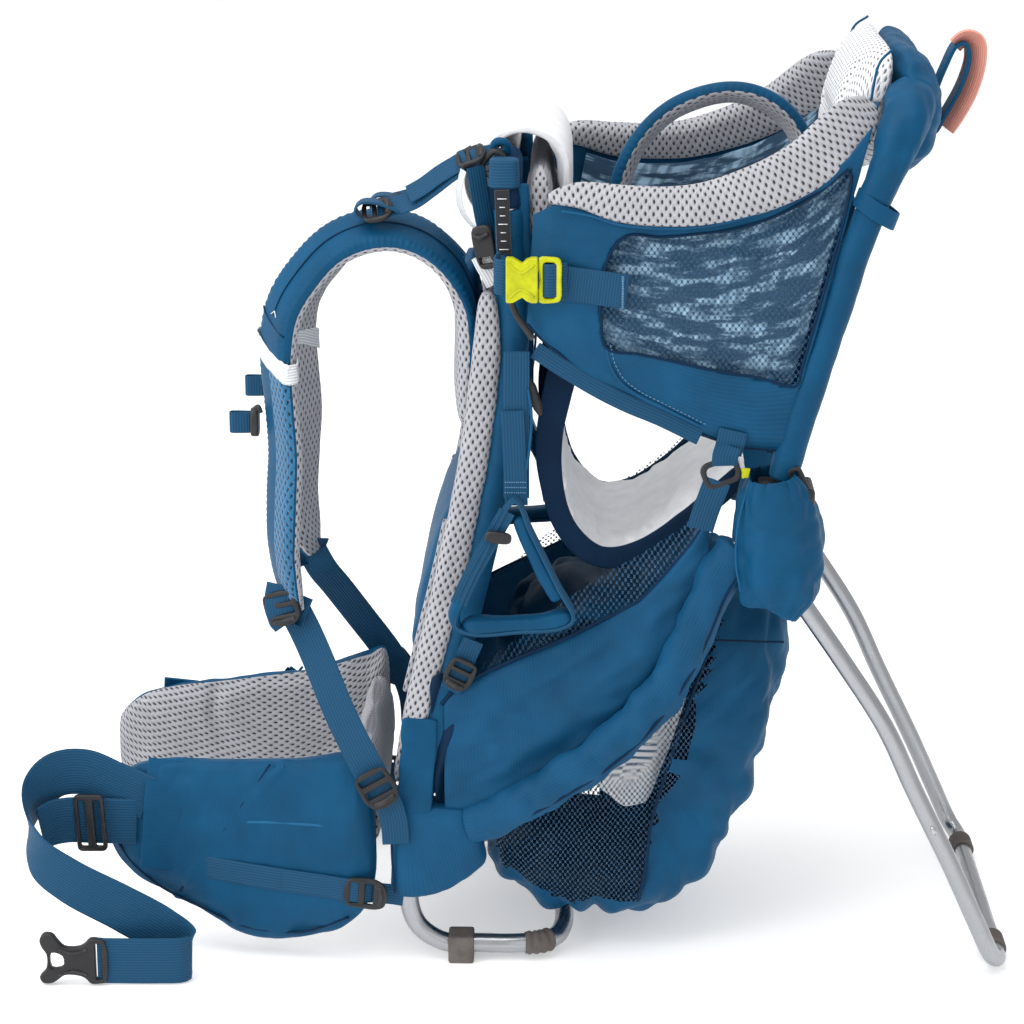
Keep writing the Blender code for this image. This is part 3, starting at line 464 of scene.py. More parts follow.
def sections(rows, across, count=16, power=0.5):
    """A grid of rings along rows of (x, y, z, width, thickness)."""
    _, wide, out = directions(rows, across)
    x, y = oval(count, power)
    return (rows[:, None, :3] + wide[:, None] * (x[None, :, None] * rows[:, None, 3:4] / 2)
            + out[:, None] * (y[None, :, None] * rows[:, None, 4:5] / 2))


def surface_normals(grid, wrap):
    down = np.gradient(grid, axis=0)
    across = (np.roll(grid, -1, axis=1) - np.roll(grid, 1, axis=1)) if wrap else np.gradient(grid, axis=1)
    return unit(np.cross(across, down))


def crumple(grid, amount, scale, seed, wrap=True, mask=None, stretch=(1.0, 1.0, 1.0), sharp=1.0):
    """Moves a grid along its normals by soft folds about 1/scale metres apart."""
    normals = surface_normals(grid, wrap)
    moved = np.empty(grid.shape[:2])
    shift = Vector((seed * 7.31, seed * 3.17, seed * 5.73))
    for index in np.ndindex(moved.shape):
        p = Vector([c * scale * s for c, s in zip(grid[index], stretch)]) + shift
        ridge = 1.0 - 2.0 * abs(noise.noise(p)) ** sharp
        finer = 1.0 - 2.0 * abs(noise.noise(p * 2.3 + shift))
        moved[index] = 0.62 * ridge + 0.26 * finer - 0.52
    if mask is not None:
        moved *= mask
    return grid + normals * (moved * amount)[..., None]


def grid_object(name, grid, looks, zone=None, wrap=True, close=False, caps=True, flat_zones=()):
    """A mesh over a grid of places, its texture coordinates in metres.

    wrap joins the last column to the first, close the last row to the first. zone(row, column) picks a
    face's material from looks, or None to leave it out. Faces of flat_zones take their texture straight
    from X and Z.
    """
    grid = np.asarray(grid, float)
    rows, columns = grid.shape[:2]
    full = np.concatenate([grid, grid[:, :1]], axis=1) if wrap else grid
    if close:
        full = np.concatenate([full, full[:1]], axis=0)
    u = np.zeros(full.shape[:2])
    u[:, 1:] = np.cumsum(np.linalg.norm(np.diff(full, axis=1), axis=2), axis=1)
    u -= u[:, u.shape[1] // 2][:, None]
    v = np.zeros(full.shape[0])
    v[1:] = np.cumsum(np.linalg.norm(np.diff(full, axis=0), axis=2).mean(axis=1))
    faces, texture, picks = [], [], []
    for i in range(full.shape[0] - 1):
        for j in range(full.shape[1] - 1):
            corners = ((i, j), (i, j + 1), (i + 1, j + 1), (i + 1, j))
            if zone and zone(i, j) is None:
                continue
            faces.append([(a % rows) * columns + b % columns for a, b in corners])
            picks.append(zone(i, j) if zone else 0)
            if picks[-1] in flat_zones:
                texture += [(full[a, b][0], full[a, b][2]) for a, b in corners]
            else:
                texture += [(u[a, b], v[a]) for a, b in corners]
    if wrap and caps and not close:
        for row, order in ((0, -1), (rows - 1, 1)):
            middle = grid[row].mean(axis=0)
            ring = list(range(columns))[::order]
            faces.append([row * columns + k for k in ring])
            texture += [tuple((grid[row][k] - middle)[[1, 2]]) for k in ring]
            picks.append(zone(min(row, rows - 2), 0) if zone else 0)
    mesh = bpy.data.meshes.new(name)
    mesh.from_pydata(grid.reshape(-1, 3).tolist(), [], faces)
    layer = mesh.uv_layers.new(name="UVMap")
    layer.data.foreach_set("uv", np.array(texture, np.float32).ravel())
    for look in looks:
        mesh.materials.append(LOOK[look])
    mesh.polygons.foreach_set("material_index", np.array(picks, np.int32))
    if wrap:
        bm = bmesh.new()
        bm.from_mesh(mesh)
        bmesh.ops.recalc_face_normals(bm, faces=bm.faces)
        bm.to_mesh(mesh)
        bm.free()
    bm = bmesh.new()
    bm.from_mesh(mesh)
    bmesh.ops.delete(bm, geom=[v for v in bm.verts if not v.link_faces], context="VERTS")
    bm.to_mesh(mesh)
    bm.free()
    return bpy.data.objects.new(name, mesh)


def cloth(obj, grid, held, share=1.0):
    """Measures the width and length of a piece of cloth's cut over its own grid, and returns the piece
    unchanged.

    share, how much of that rectangle the cut fills where it is tapered or goes round a window, is not used.
    """
    grid = np.asarray(grid, float)
    width = float(np.linalg.norm(np.diff(grid, axis=1), axis=2).sum(axis=1).mean())
    length = float(np.linalg.norm(np.diff(grid, axis=0), axis=2).sum(axis=0).mean())
    return obj


def placed(obj, look, body="frame", replaces=(), levels=0, thick=0.0, sharp=None):
    """Finishes a piece: smooth shading, modifiers, its body and what it replaces."""
    bpy.context.scene.collection.objects.link(obj)
    mesh = obj.data
    mesh.shade_smooth()
    if sharp is not None:
        mesh.set_sharp_from_angle(angle=math.radians(sharp))
    if thick:
        modifier = obj.modifiers.new("Cloth thickness", "SOLIDIFY")
        modifier.thickness = thick
        modifier.offset = 0.0
    if levels:
        modifier = obj.modifiers.new("Rounding", "SUBSURF")
        modifier.levels = modifier.render_levels = levels
    if replaces:
        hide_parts(*replaces)
    if body:
        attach(obj, body)
    return obj


def puff(obj, pressure=4.0, cap=0.006, held=None, shrink=0.0, stiffness=15.0):
    """Blows a closed piece up as stuffed cloth and keeps the result; held(place) says which points stay."""
    scene = bpy.context.scene
    scene.collection.objects.link(obj)
    cloth = obj.modifiers.new("Puff", "CLOTH")
    settings = cloth.settings
    settings.quality = 5
    settings.mass = 0.3
    settings.tension_stiffness = settings.compression_stiffness = stiffness
    settings.shear_stiffness = stiffness / 2
    settings.bending_stiffness = 0.5
    settings.use_pressure = True
    settings.uniform_pressure_force = pressure
    settings.shrink_min = shrink
    settings.effector_weights.gravity = 0.0
    cloth.point_cache.frame_start, cloth.point_cache.frame_end = 1, 20
    if held is not None:
        group = obj.vertex_groups.new(name="Seams")
        group.add([v.index for v in obj.data.vertices if held(v.co)], 1.0, "REPLACE")
        settings.vertex_group_mass = "Seams"
    for at in range(1, 21):
        scene.frame_set(at)
    blown = obj.evaluated_get(bpy.context.evaluated_depsgraph_get()).data
    for vertex, result in zip(obj.data.vertices, blown.vertices):
        move = result.co - vertex.co
        if move.length > cap:
            move *= cap / move.length
        vertex.co += move
    obj.modifiers.remove(cloth)
    obj.vertex_groups.clear()
    scene.frame_set(1)
    scene.collection.objects.unlink(obj)
    return obj


# ---------------------------------------------------------------- small parts
def round_line(name, path, radius, look, body="frame", segments=8, closed=False, replaces=(), spacing=None):
    """A cord, piping or tube along a path; radius is a number or one for each row."""
    rows = np.asarray(path, float)[:, :3]
    if spacing:
        rows = even(rows, spacing)
    size = np.broadcast_to(np.asarray(radius, float), (len(rows),)) * 2
    along = tangents(rows)
    side = np.zeros_like(along)
    start = np.array((0.0, 1.0, 0.0)) if abs(along[0][1]) < 0.8 else np.array((0.0, 0.0, 1.0))
    for k, t in enumerate(along):
        start = start - t * np.dot(start, t)
        start /= np.linalg.norm(start)
        side[k] = start
    out = np.cross(side, along)
    if closed:
        twist = math.atan2(np.dot(side[0], out[-1]), np.dot(side[0], side[-1]))
        turn = np.linspace(0.0, twist, len(rows))[:, None]
        side, out = side * np.cos(turn) + out * np.sin(turn), out * np.cos(turn) - side * np.sin(turn)
    x, y = oval(segments, 1.0)
    grid = (rows[:, None] + side[:, None] * (x[None, :, None] * size[:, None, None] / 2)
            + out[:, None] * (y[None, :, None] * size[:, None, None] / 2))
    if closed:
        grid = grid[:-1]
    obj = grid_object(name, grid, [look], close=closed)
    return placed(obj, look, body, replaces)


def strap(name, points, width, across, look="web", body="frame", replaces=(), thick=WEB_THICK,
          spacing=0.003,
          power=0.28, zone=None, looks=None, closed=False):
    """Flat webbing along a smooth line, its width turned by across."""
    rows = np.array([(*p[:3], *(p[3:] if len(p) > 3 else (width, thick))) for p in points], float)
    rows = route(rows, spacing, closed)
    grid = sections(rows, across, 14, power)
    if closed:
        grid = grid[:-1]
    obj = grid_object(name, grid, looks or [look], zone, close=closed)
    return placed(obj, look, body, replaces, sharp=60)


def stitches(name, path, normal, look="thread", body="frame", pitch=0.0032, length=0.0021, width=0.00055,
             lift=0.0003):
    """A row of short raised stitches along a line lying on cloth with the given normal."""
    rows = even(np.asarray(path, float)[:, :3], pitch)
    along = tangents(rows)
    normals = unit(np.broadcast_to(np.asarray(normal, float), along.shape))
    side = unit(np.cross(along, normals))
    verts, faces = [], []
    for p, t, s, n in zip(rows, along, side, normals):
        base = len(verts)
        for a, b, c in ((-1, 0, 0), (-0.7, 1, 0.2), (0.7, 1, 0.2), (1, 0, 0), (0.7, -1, 0.2),
                        (-0.7, -1, 0.2),
                        (-0.5, 0, 1), (0.5, 0, 1)):
            verts.append(p + t * a * length / 2 + s * b * width / 2 + n * (c * lift + 0.0001))
        faces += [[base + k for k in f] for f in ((0, 5, 6), (0, 6, 1), (1, 6, 7, 2), (5, 4, 7, 6),
                                                  (2, 7, 3),
                                                  (3, 7, 4), (0, 1, 2, 3, 4, 5))]
    mesh = bpy.data.meshes.new(name)
    mesh.from_pydata([tuple(v) for v in verts], [], faces)
    mesh.materials.append(LOOK[look])
    mesh.uv_layers.new(name="UVMap")
    return placed(bpy.data.objects.new(name, mesh), look, body)


def axes(place, along, face):
    """A matrix whose X is along and whose Z is the face's direction."""
    z = Vector(face).normalized()
    x = Vector(along)
    x = (x - z * x.dot(z)).normalized()
    y = z.cross(x)
    made = Matrix((x, y, z)).transposed().to_4x4()
    made.translation = Vector(place)
    return made


def moulding(name, outline, holes, thick, matrix, look="black", body="frame", replaces=(), edge=0.0007,
             bend=0.0):
    """A moulded plate with rounded edges, set by a matrix; bend lifts its ends along X."""
    data = bpy.data.curves.new(name, "CURVE")
    data.dimensions = "2D"
    data.fill_mode = "BOTH"
    data.bevel_depth = edge
    data.bevel_resolution = 2
    data.offset = -edge
    data.extrude = thick / 2 - edge
    for ring in (outline, *holes):
        spline = data.splines.new("POLY")
        spline.points.add(len(ring) - 1)
        for point, (x, y) in zip(spline.points, ring):
            point.co = (x, y, 0.0, 1.0)
        spline.use_cyclic_u = True
    curve = bpy.data.objects.new(name + "_outline", data)
    bpy.context.scene.collection.objects.link(curve)
    bpy.context.view_layer.update()
    mesh = bpy.data.meshes.new_from_object(curve.evaluated_get(bpy.context.evaluated_depsgraph_get()))
    bpy.data.objects.remove(curve, do_unlink=True)
    bpy.data.curves.remove(data)
    mesh.name = name
    bm = bmesh.new()
    bm.from_mesh(mesh)
    bmesh.ops.remove_doubles(bm, verts=bm.verts, dist=0.00001)
    bmesh.ops.recalc_face_normals(bm, faces=bm.faces)
    bm.to_mesh(mesh)
    bm.free()
    for vertex in mesh.vertices:
        vertex.co.z += bend * vertex.co.x ** 2
    mesh.transform(matrix)
    mesh.materials.clear()
    mesh.materials.append(LOOK[look])
    mesh.polygons.foreach_set("material_index", np.zeros(len(mesh.polygons), np.int32))
    return placed(bpy.data.objects.new(name, mesh), look, body, replaces, sharp=50)


def rounded(width, height, radius, steps=4, centre=(0.0, 0.0)):
    """The outline of a rectangle with round corners, anticlockwise."""
    ring = []
    for k, (sx, sy) in enumerate(((1, 1), (-1, 1), (-1, -1), (1, -1))):
        for step in range(steps + 1):
            turn = math.pi / 2 * (k + step / steps)
            ring.append((centre[0] + sx * (width / 2 - radius) + radius * math.cos(turn),
                         centre[1] + sy * (height / 2 - radius) + radius * math.sin(turn)))
    return ring


def soft_outline(points, steps=3):
    """A closed outline with its corners rounded into curves."""
    rows = smooth([(x, y, 0.0) for x, y in points], steps, closed=True)
    return [(row[0], row[1]) for row in rows]


def ladder_lock(name, place, along, face, web=WEB_SHOULDER, body="frame", look="black", length=0.024):
    """A ladder lock: a tapered frame with two slots and a raised grip at its end."""
    w, h = web / 2 + 0.0035, length / 2
    outline = soft_outline([(-h, -w * 0.80), (-h * 0.4, -w), (h * 0.55, -w * 0.98), (h * 1.05, -w * 0.62),
                            (h * 1.05, w * 0.62), (h * 0.55, w * 0.98), (-h * 0.4, w), (-h, w * 0.80)])
    slots = [rounded(h * 0.42, web * 1.0, 0.0008, 2, (-h * 0.60, 0.0)),
             rounded(h * 0.46, web * 1.0, 0.0008, 2, (0.18 * h, 0.0))]
    matrix = axes(place, along, face)
    base = moulding(name, outline, slots, 0.0036, matrix, look, body, edge=0.0009, bend=9.0)
    bar = [(h * 0.78, -w * 0.62, 0.0016), (h * 0.82, 0.0, 0.0030), (h * 0.78, w * 0.62, 0.0016)]
    points = smooth([matrix @ Vector(p) for p in bar], 6)
    round_line(name + "_grip", points, 0.0024, look, body, 10)
    return base


# ---------------------------------------------------------------- metal frame and feet
def frame_path():
    """The closed line of the main frame tube: crossbar, upright, base run and rear bar, then back again."""
    y = FRAME_HALF
    half = [(TOP_X, 0.0, TOP_Z), (TOP_X, y - 0.030, TOP_Z), (TOP_X, y - 0.008, TOP_Z - 0.009)]
    half += [(x, y, z) for z, x in reversed(UPRIGHT)]
    half += [(-0.080, y, 0.029), (-0.060, y, BASE_Z + 0.001), (-0.030, y, BASE_Z), (0.000, y, BASE_Z),
             (BASE_REAR_X - 0.009, y - 0.008, BASE_Z), (BASE_REAR_X, y - 0.030, BASE_Z),
             (BASE_REAR_X, 0.0, BASE_Z)]
    mirrored = [(x, -y_, z) for x, y_, z in reversed(half[1:-1])]
    return route(half + mirrored, 0.005, closed=True)


def rail_path(s):
    """One lower rail, from beside the upright to its socket in the pivot housing."""
    points = [(-0.0690, 0.1135, 0.113), (-0.030, 0.122, 0.121), (0.000, 0.132, 0.140),
              (0.031, 0.138, 0.161),
              (0.061, HOOP_HALF, 0.183), (0.091, HOOP_HALF, 0.212), (0.120, HOOP_HALF, 0.256),
              (0.149, HOOP_HALF, 0.327), (0.1695, HOOP_HALF, 0.3645)]
    return route([(x, s * y, z) for x, y, z in points], 0.003)


def hoop_path():
    """The rear hoop, from the left pivot housing over the head and down to the right one."""
    side = [(x, HOOP_HALF, z) for z, x in HOOP]
    side += [(0.268, 0.137, 0.646), (0.2765, 0.124, 0.665), (0.2805, 0.100, 0.6725), (0.281, 0.05, 0.673)]
    left = [(x, -y, z) for x, y, z in side]
    return route(left + [(0.281, 0.0, 0.673)] + side[::-1], 0.003)


def leg_path():
    """The kickstand: two bent legs and the crossbar between their feet."""
    leg = [(0.1925, 0.137, 0.3390), (0.197, 0.137, 0.330), (0.205, 0.137, 0.314), (0.240, 0.137, 0.262),
           (0.276, 0.137, 0.206), (0.300, 0.137, 0.155), (0.330, 0.137, 0.094), (0.351, 0.137, 0.048),
           (0.365, 0.134, 0.018), (FOOT_X, 0.122, FOOT_Z), (FOOT_X, 0.110, FOOT_Z)]
    left = [(x, -y, z) for x, y, z in leg]
    return route(left + [(FOOT_X, 0.0, FOOT_Z)] + leg[::-1], 0.004)


def build_metal():
    round_line("main_frame_bar", frame_path(), FRAME_R, "aluminium", segments=24, closed=True,
               replaces=("main_frame_tube",))
    round_line("rear_hoop_bar", hoop_path(), HOOP_R, "aluminium", segments=20, replaces=("rear_hoop_tube",))
    round_line("kickstand_bar", leg_path(), LEG_R, "aluminium", "kickstand", 24,
               replaces=("kickstand_tube",))
    for side, s in SIDES:
        round_line("lower_rail_bar_" + side, rail_path(s), RAIL_R, "aluminium", segments=18,
                   replaces=("lower_rail_" + side,))
        rear = smooth([(0.004, s * 0.1100, BASE_Z), (0.014, s * 0.1085, BASE_Z),
                       (0.0235, s * 0.1025, BASE_Z)], 8)
        swell = [0.0086 if k % 4 < 2 else 0.0094 for k in range(len(rear))]
        round_line("base_clip_rear_" + side, rear, swell, "rubber", segments=24)
        ribs = [(FOOT_X, s * (0.088 + 0.0005 * k), FOOT_Z) for k in range(41)]
        swell = [0.0086 + 0.0010 * (k % 6 < 3) - 0.0012 * (k in (0, 40)) for k in range(41)]
        round_line("kickstand_ring_" + side, ribs, swell, "rubber", "kickstand", 28,
                   replaces=("kickstand_foot_" + side,))
        button = smooth([(0.3135, s * 0.1440, 0.1285), (0.3165, s * 0.1443, 0.1215)], 4)
        round_line("leg_button_" + side, button, (0.0008, 0.0019, 0.0022, 0.0019, 0.0008), "steel",
                   "kickstand", 12)


def look_on_node(name, look):
    """A CAD node that stays visible takes a finished material."""
    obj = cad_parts[name]
    for index in range(len(obj.material_slots)):
        obj.material_slots[index].material = LOOK[look]
    obj.data.shade_smooth()
    obj.data.set_sharp_from_angle(angle=math.radians(35))


# ---------------------------------------------------------------- sleeves and wraps on the tubes
def sleeve(name, path, radius, look, replaces=(), folds=0.0014, scale=55.0, seed=1, body="frame", flat=1.0):
    """A fabric tube drawn over a bar, gathered into soft folds."""
    rows = np.column_stack([path[:, :3], np.full(len(path), 2 * radius),
                            np.full(len(path), 2 * radius * flat)])
    grid = sections(rows, ALONG_Y, 20, 1.0)
    grid = crumple(grid, folds, scale, seed, stretch=(1.0, 1.0, 0.7))
    obj = placed(grid_object(name, grid, [look]), look, body, replaces, levels=1)
    return obj


def build_sleeves():
    for side, s in SIDES:
        heights = (0.142, 0.20, 0.26, 0.33, 0.39, 0.45, 0.51, 0.56, 0.598)
        path = route([(upright_x(z), s * FRAME_HALF, z) for z in heights], 0.0035)
        sleeve("upright_cover_" + side, path, SLEEVE_R, "blue_plain", ("upright_sleeve_" + side,), 0.0016,
               45.0, 3 + s)
        rail = rail_path(s)
        lower = rail[(rail[:, 0] > -0.041) & (rail[:, 2] < 0.352)]
        sleeve("rail_cover_" + side, lower, RAIL_SLEEVE_R + 0.0006, "blue_turned", ("rail_sleeve_" + side,),
               0.0056, 34.0, 6 + s, flat=1.20)
        outer = lower[:, :3] + np.array((0.0, s * (RAIL_SLEEVE_R * 0.78), 0.0))
        along = tangents(lower)
        lift = np.cross(along, (0.0, 1.0, 0.0)) * (RAIL_SLEEVE_R * 0.72) * -1.0
        seam = even(outer + lift, 0.004)
        round_line("rail_seam_" + side, seam, 0.0011, "navy", segments=8)
    bend = frame_path()
    for side, s in SIDES:
        top = bend[(bend[:, 1] * s > 0.070) & (bend[:, 2] > 0.594)]
        sleeve("top_bend_cover_" + side, top, 0.0102, "navy", folds=0.0012, scale=60.0, seed=12 + s)
    hoop = hoop_path()
    sleeve("hoop_cover", hoop, HOOP_SLEEVE_R, "blue_plain", folds=0.0013, scale=40.0, seed=9)


def build_corner_wraps():
    for side, s in SIDES:
        rows = []
        for x, low, high, deep in ((-0.0990, 0.062, 0.131, 0.020), (-0.0940, 0.058, 0.1345, 0.028),
                                   (-0.078, 0.058, 0.136, 0.031),
                                   (-0.060, 0.068, 0.136, 0.031), (-0.044, 0.079, 0.134, 0.029),
                                   (-0.034, 0.087, 0.131, 0.025),
                                   (-0.0300, 0.094, 0.126, 0.016)):
            rows.append((x, s * 0.1150, (low + high) / 2, high - low, deep))
        rows = even(smooth(rows, 6), 0.0022)
        grid = sections(rows, (0.0, 0.0, 1.0), 40, 0.34)
        grid = crumple(grid, 0.0034, 34.0, 11 + s, stretch=(0.6, 1.0, 1.5))
        obj = placed(grid_object("corner_wrap_" + side, grid, ["blue"]), "blue",
                     replaces=("corner_bracket_" + side,), levels=1)
        edge = [(-0.0975, s * 0.1315, 0.129), (-0.0985, s * 0.1300, 0.100), (-0.0965, s * 0.1300, 0.064)]
        round_line("corner_wrap_seam_" + side, smooth(edge, 8), 0.0010, "navy", segments=8)
        rows = route([(-0.0765, s * 0.1205, 0.205), (-0.0775, s * 0.1235, 0.178),
                      (-0.0800, s * 0.1255, 0.150), (-0.0820, s * 0.1270, 0.128)], 0.003)
        rows = np.column_stack([rows, np.full(len(rows), 0.027), np.full(len(rows), 0.005)])
        grid = crumple(sections(rows, (1.0, 0.0, 0.0), 26, 0.4), 0.0022, 60.0, 14 + s,
                       stretch=(1.0, 1.0, 0.8))
        placed(grid_object("upright_tab_" + side, grid, ["blue_plain"]), "blue_plain", levels=1)
        flap = []
        for k in range(14):
            t = k / 13
            x0, x1 = -0.0690 + 0.004 * t, -0.0420 - 0.008 * t
            z = 0.236 - 0.100 * t
            flap.append([(x0 + (x1 - x0) * a, s * (0.1190 + 0.004 * math.sin(7 * a + 9 * t)),
                          z + 0.006 * math.sin(5 * a + 3 * t)) for a in np.linspace(0, 1, 10)])
        obj = grid_object("inner_flap_" + side, np.array(flap), ["navy"], wrap=False)
        placed(obj, "navy", thick=0.0012, levels=1)


def build_pivot_covers():
    """Gathered hoods over the pivots, open below for the legs."""
    for side, s in SIDES:
        rings = []
        profile = ((0.3035, 0.0030, 0.52), (0.3050, 0.0040, 0.62), (0.3130, 0.0045, 0.84),
                   (0.3300, 0.0050, 0.98),
                   (0.3500, 0.0045, 1.00), (0.3680, 0.0025, 0.97), (0.3850, 0.0000, 0.86),
                   (0.3980, -0.0010, 0.70), (0.4060, -0.0020, 0.50))
        for z, lean, full in profile:
            centre = (0.1870 + lean, s * 0.1400, z)
            rings.append((*centre, 0.065 * full, 0.056 * (0.80 + 0.2 * full)))
        rows = even(smooth(rings, 6), 0.0022)
        grid = sections(rows, (1.0, 0.0, 0.0), 56, 0.72)
        middle = grid.mean(axis=1, keepdims=True)
        turn = np.linspace(0, 2 * math.pi, 56, endpoint=False)[None, :]
        height = (rows[:, 2] - 0.304)[:, None]
        gather = 0.0013 * np.sin(turn * 19 + 40 * height) * np.clip(1 - height / 0.030, 0, 1)
        gather = gather + 0.0016 * np.sin(turn * 13 + 1.0) * np.clip((height - 0.066) / 0.03, 0, 1)
        grid = grid + unit(grid - middle) * gather[..., None]
        grid = crumple(grid, 0.0075, 30.0, 21 + s, stretch=(1.0, 1.0, 0.75))
        grid[:, :, 1] = np.clip(grid[:, :, 1] * s, 0.1120, 0.1695) * s
        obj = grid_object("pivot_hood_" + side, grid, ["blue_plain"], caps=False)
        placed(obj, "blue_plain", replaces=("pivot_cover_" + side,), thick=0.0014, levels=1)
        seam = route([(0.166, s * 0.1590, 0.398), (0.160, s * 0.1625, 0.372), (0.1590, s * 0.1640, 0.345),
                      (0.1630, s * 0.1640, 0.322)], 0.003)
        round_line("pivot_hood_seam_" + side, seam, 0.0009, "binding", segments=8)
        matrix = axes((0.2040, s * 0.1490, 0.4040), (0.45, 0.0, -0.9), (0.0, s, 0.0))
        toggle = soft_outline([(-0.009, -0.0042), (0.004, -0.0052), (0.0125, -0.0030), (0.0125, 0.0030),
                               (0.004, 0.0052), (-0.009, 0.0042)])
        moulding("hood_toggle_" + side, toggle, [rounded(0.004, 0.004, 0.0018, 4, (-0.0045, 0.0))], 0.0052,
                 matrix, "black", edge=0.0012)
        cord_line = route([(0.1985, s * 0.1490, 0.4120), (0.1935, s * 0.1480, 0.4075),
                           (0.1890, s * 0.1465, 0.4000)], 0.002)
        round_line("hood_toggle_cord_" + side, cord_line, 0.0011, "black", segments=8)


# ---------------------------------------------------------------- back system
def build_back():
    for side, s in SIDES:
        rows = []
        for z, deep, wide in ((0.1500, 0.0075, 0.016), (0.1560, 0.0120, 0.022), (0.20, 0.0165, 0.0250),
                              (0.25, 0.0195, 0.0256), (0.32, 0.0205, 0.0256),
                              (0.40, 0.0210, 0.0256), (0.46, 0.0210, 0.0250), (0.505, 0.0185, 0.024),
                              (0.528, 0.0130, 0.020), (0.5350, 0.0060, 0.012)):
            rows.append((upright_x(z) - 0.0190, s * 0.1100, z, wide, deep))
        rows = even(smooth(rows, 6), 0.0035)
        grid = sections(rows, ALONG_Y, 28, 0.55)
        grid = crumple(grid, 0.0011, 40.0, 31 + s)
        obj = grid_object("back_cushion_" + side, grid, ["mesh"])
        puff(obj, 2.0, 0.0014, lambda p: False)
        placed(obj, "mesh", replaces=("back_pad_" + side,), levels=1)
    rows = []
    for z, deep, wide in ((0.203, 0.012, 0.165), (0.207, 0.022, 0.182), (0.26, 0.029, 0.190),
                          (0.34, 0.028, 0.190), (0.383, 0.016, 0.190),
                          (0.42, 0.010, 0.190), (0.50, 0.009, 0.188), (0.575, 0.008, 0.180),
                          (0.584, 0.004, 0.165)):
        back = upright_x(z) - 0.0045
        rows.append((back - deep / 2, 0.0, z, wide, deep))
    rows = even(smooth(rows, 5), 0.005)
    grid = sections(rows, ALONG_Y, 56, 0.30)
    grid = crumple(grid, 0.0016, 22.0, 33, stretch=(1.0, 1.0, 0.6))
    obj = grid_object("back_sheet", grid, ["blue"])
    puff(obj, 1.5, 0.003)
    placed(obj, "blue", replaces=("back_panel",), levels=1)
    for side, s in SIDES:
        edge = route([(upright_x(z) - 0.0300, s * 0.0915, z) for z in (0.215, 0.26, 0.31, 0.355)], 0.004)
        rows = np.column_stack([edge, np.full(len(edge), 0.006), np.full(len(edge), 0.007)])
        placed(grid_object("back_edging_" + side, sections(rows, ALONG_Y, 12, 0.8), ["mesh"]), "mesh",
               levels=1)
    rows = [(-0.119, 0.0, 0.080, 0.140, 0.010), (-0.1195, 0.0, 0.083, 0.158, 0.018),
            (-0.120, 0.0, 0.10, 0.178, 0.026), (-0.120, 0.0, 0.140, 0.180, 0.027),
            (-0.120, 0.0, 0.152, 0.178, 0.0255), (-0.1195, 0.0, 0.166, 0.164, 0.018),
            (-0.119, 0.0, 0.1715, 0.150, 0.009)]
    rows = even(smooth(rows, 5), 0.004)
    grid = sections(rows, ALONG_Y, 48, 0.45)
    groove = 0.0030 * np.exp(-((grid[:, :, 1]) / 0.007) ** 2)
    grid[:, :, 0] += groove * np.sign(rows[:, None, 0] - grid[:, :, 0])
    obj = grid_object("lumbar_cushion", grid, ["mesh"])
    puff(obj, 2.5, 0.002)
    placed(obj, "mesh", replaces=("lumbar_pad",), levels=1)


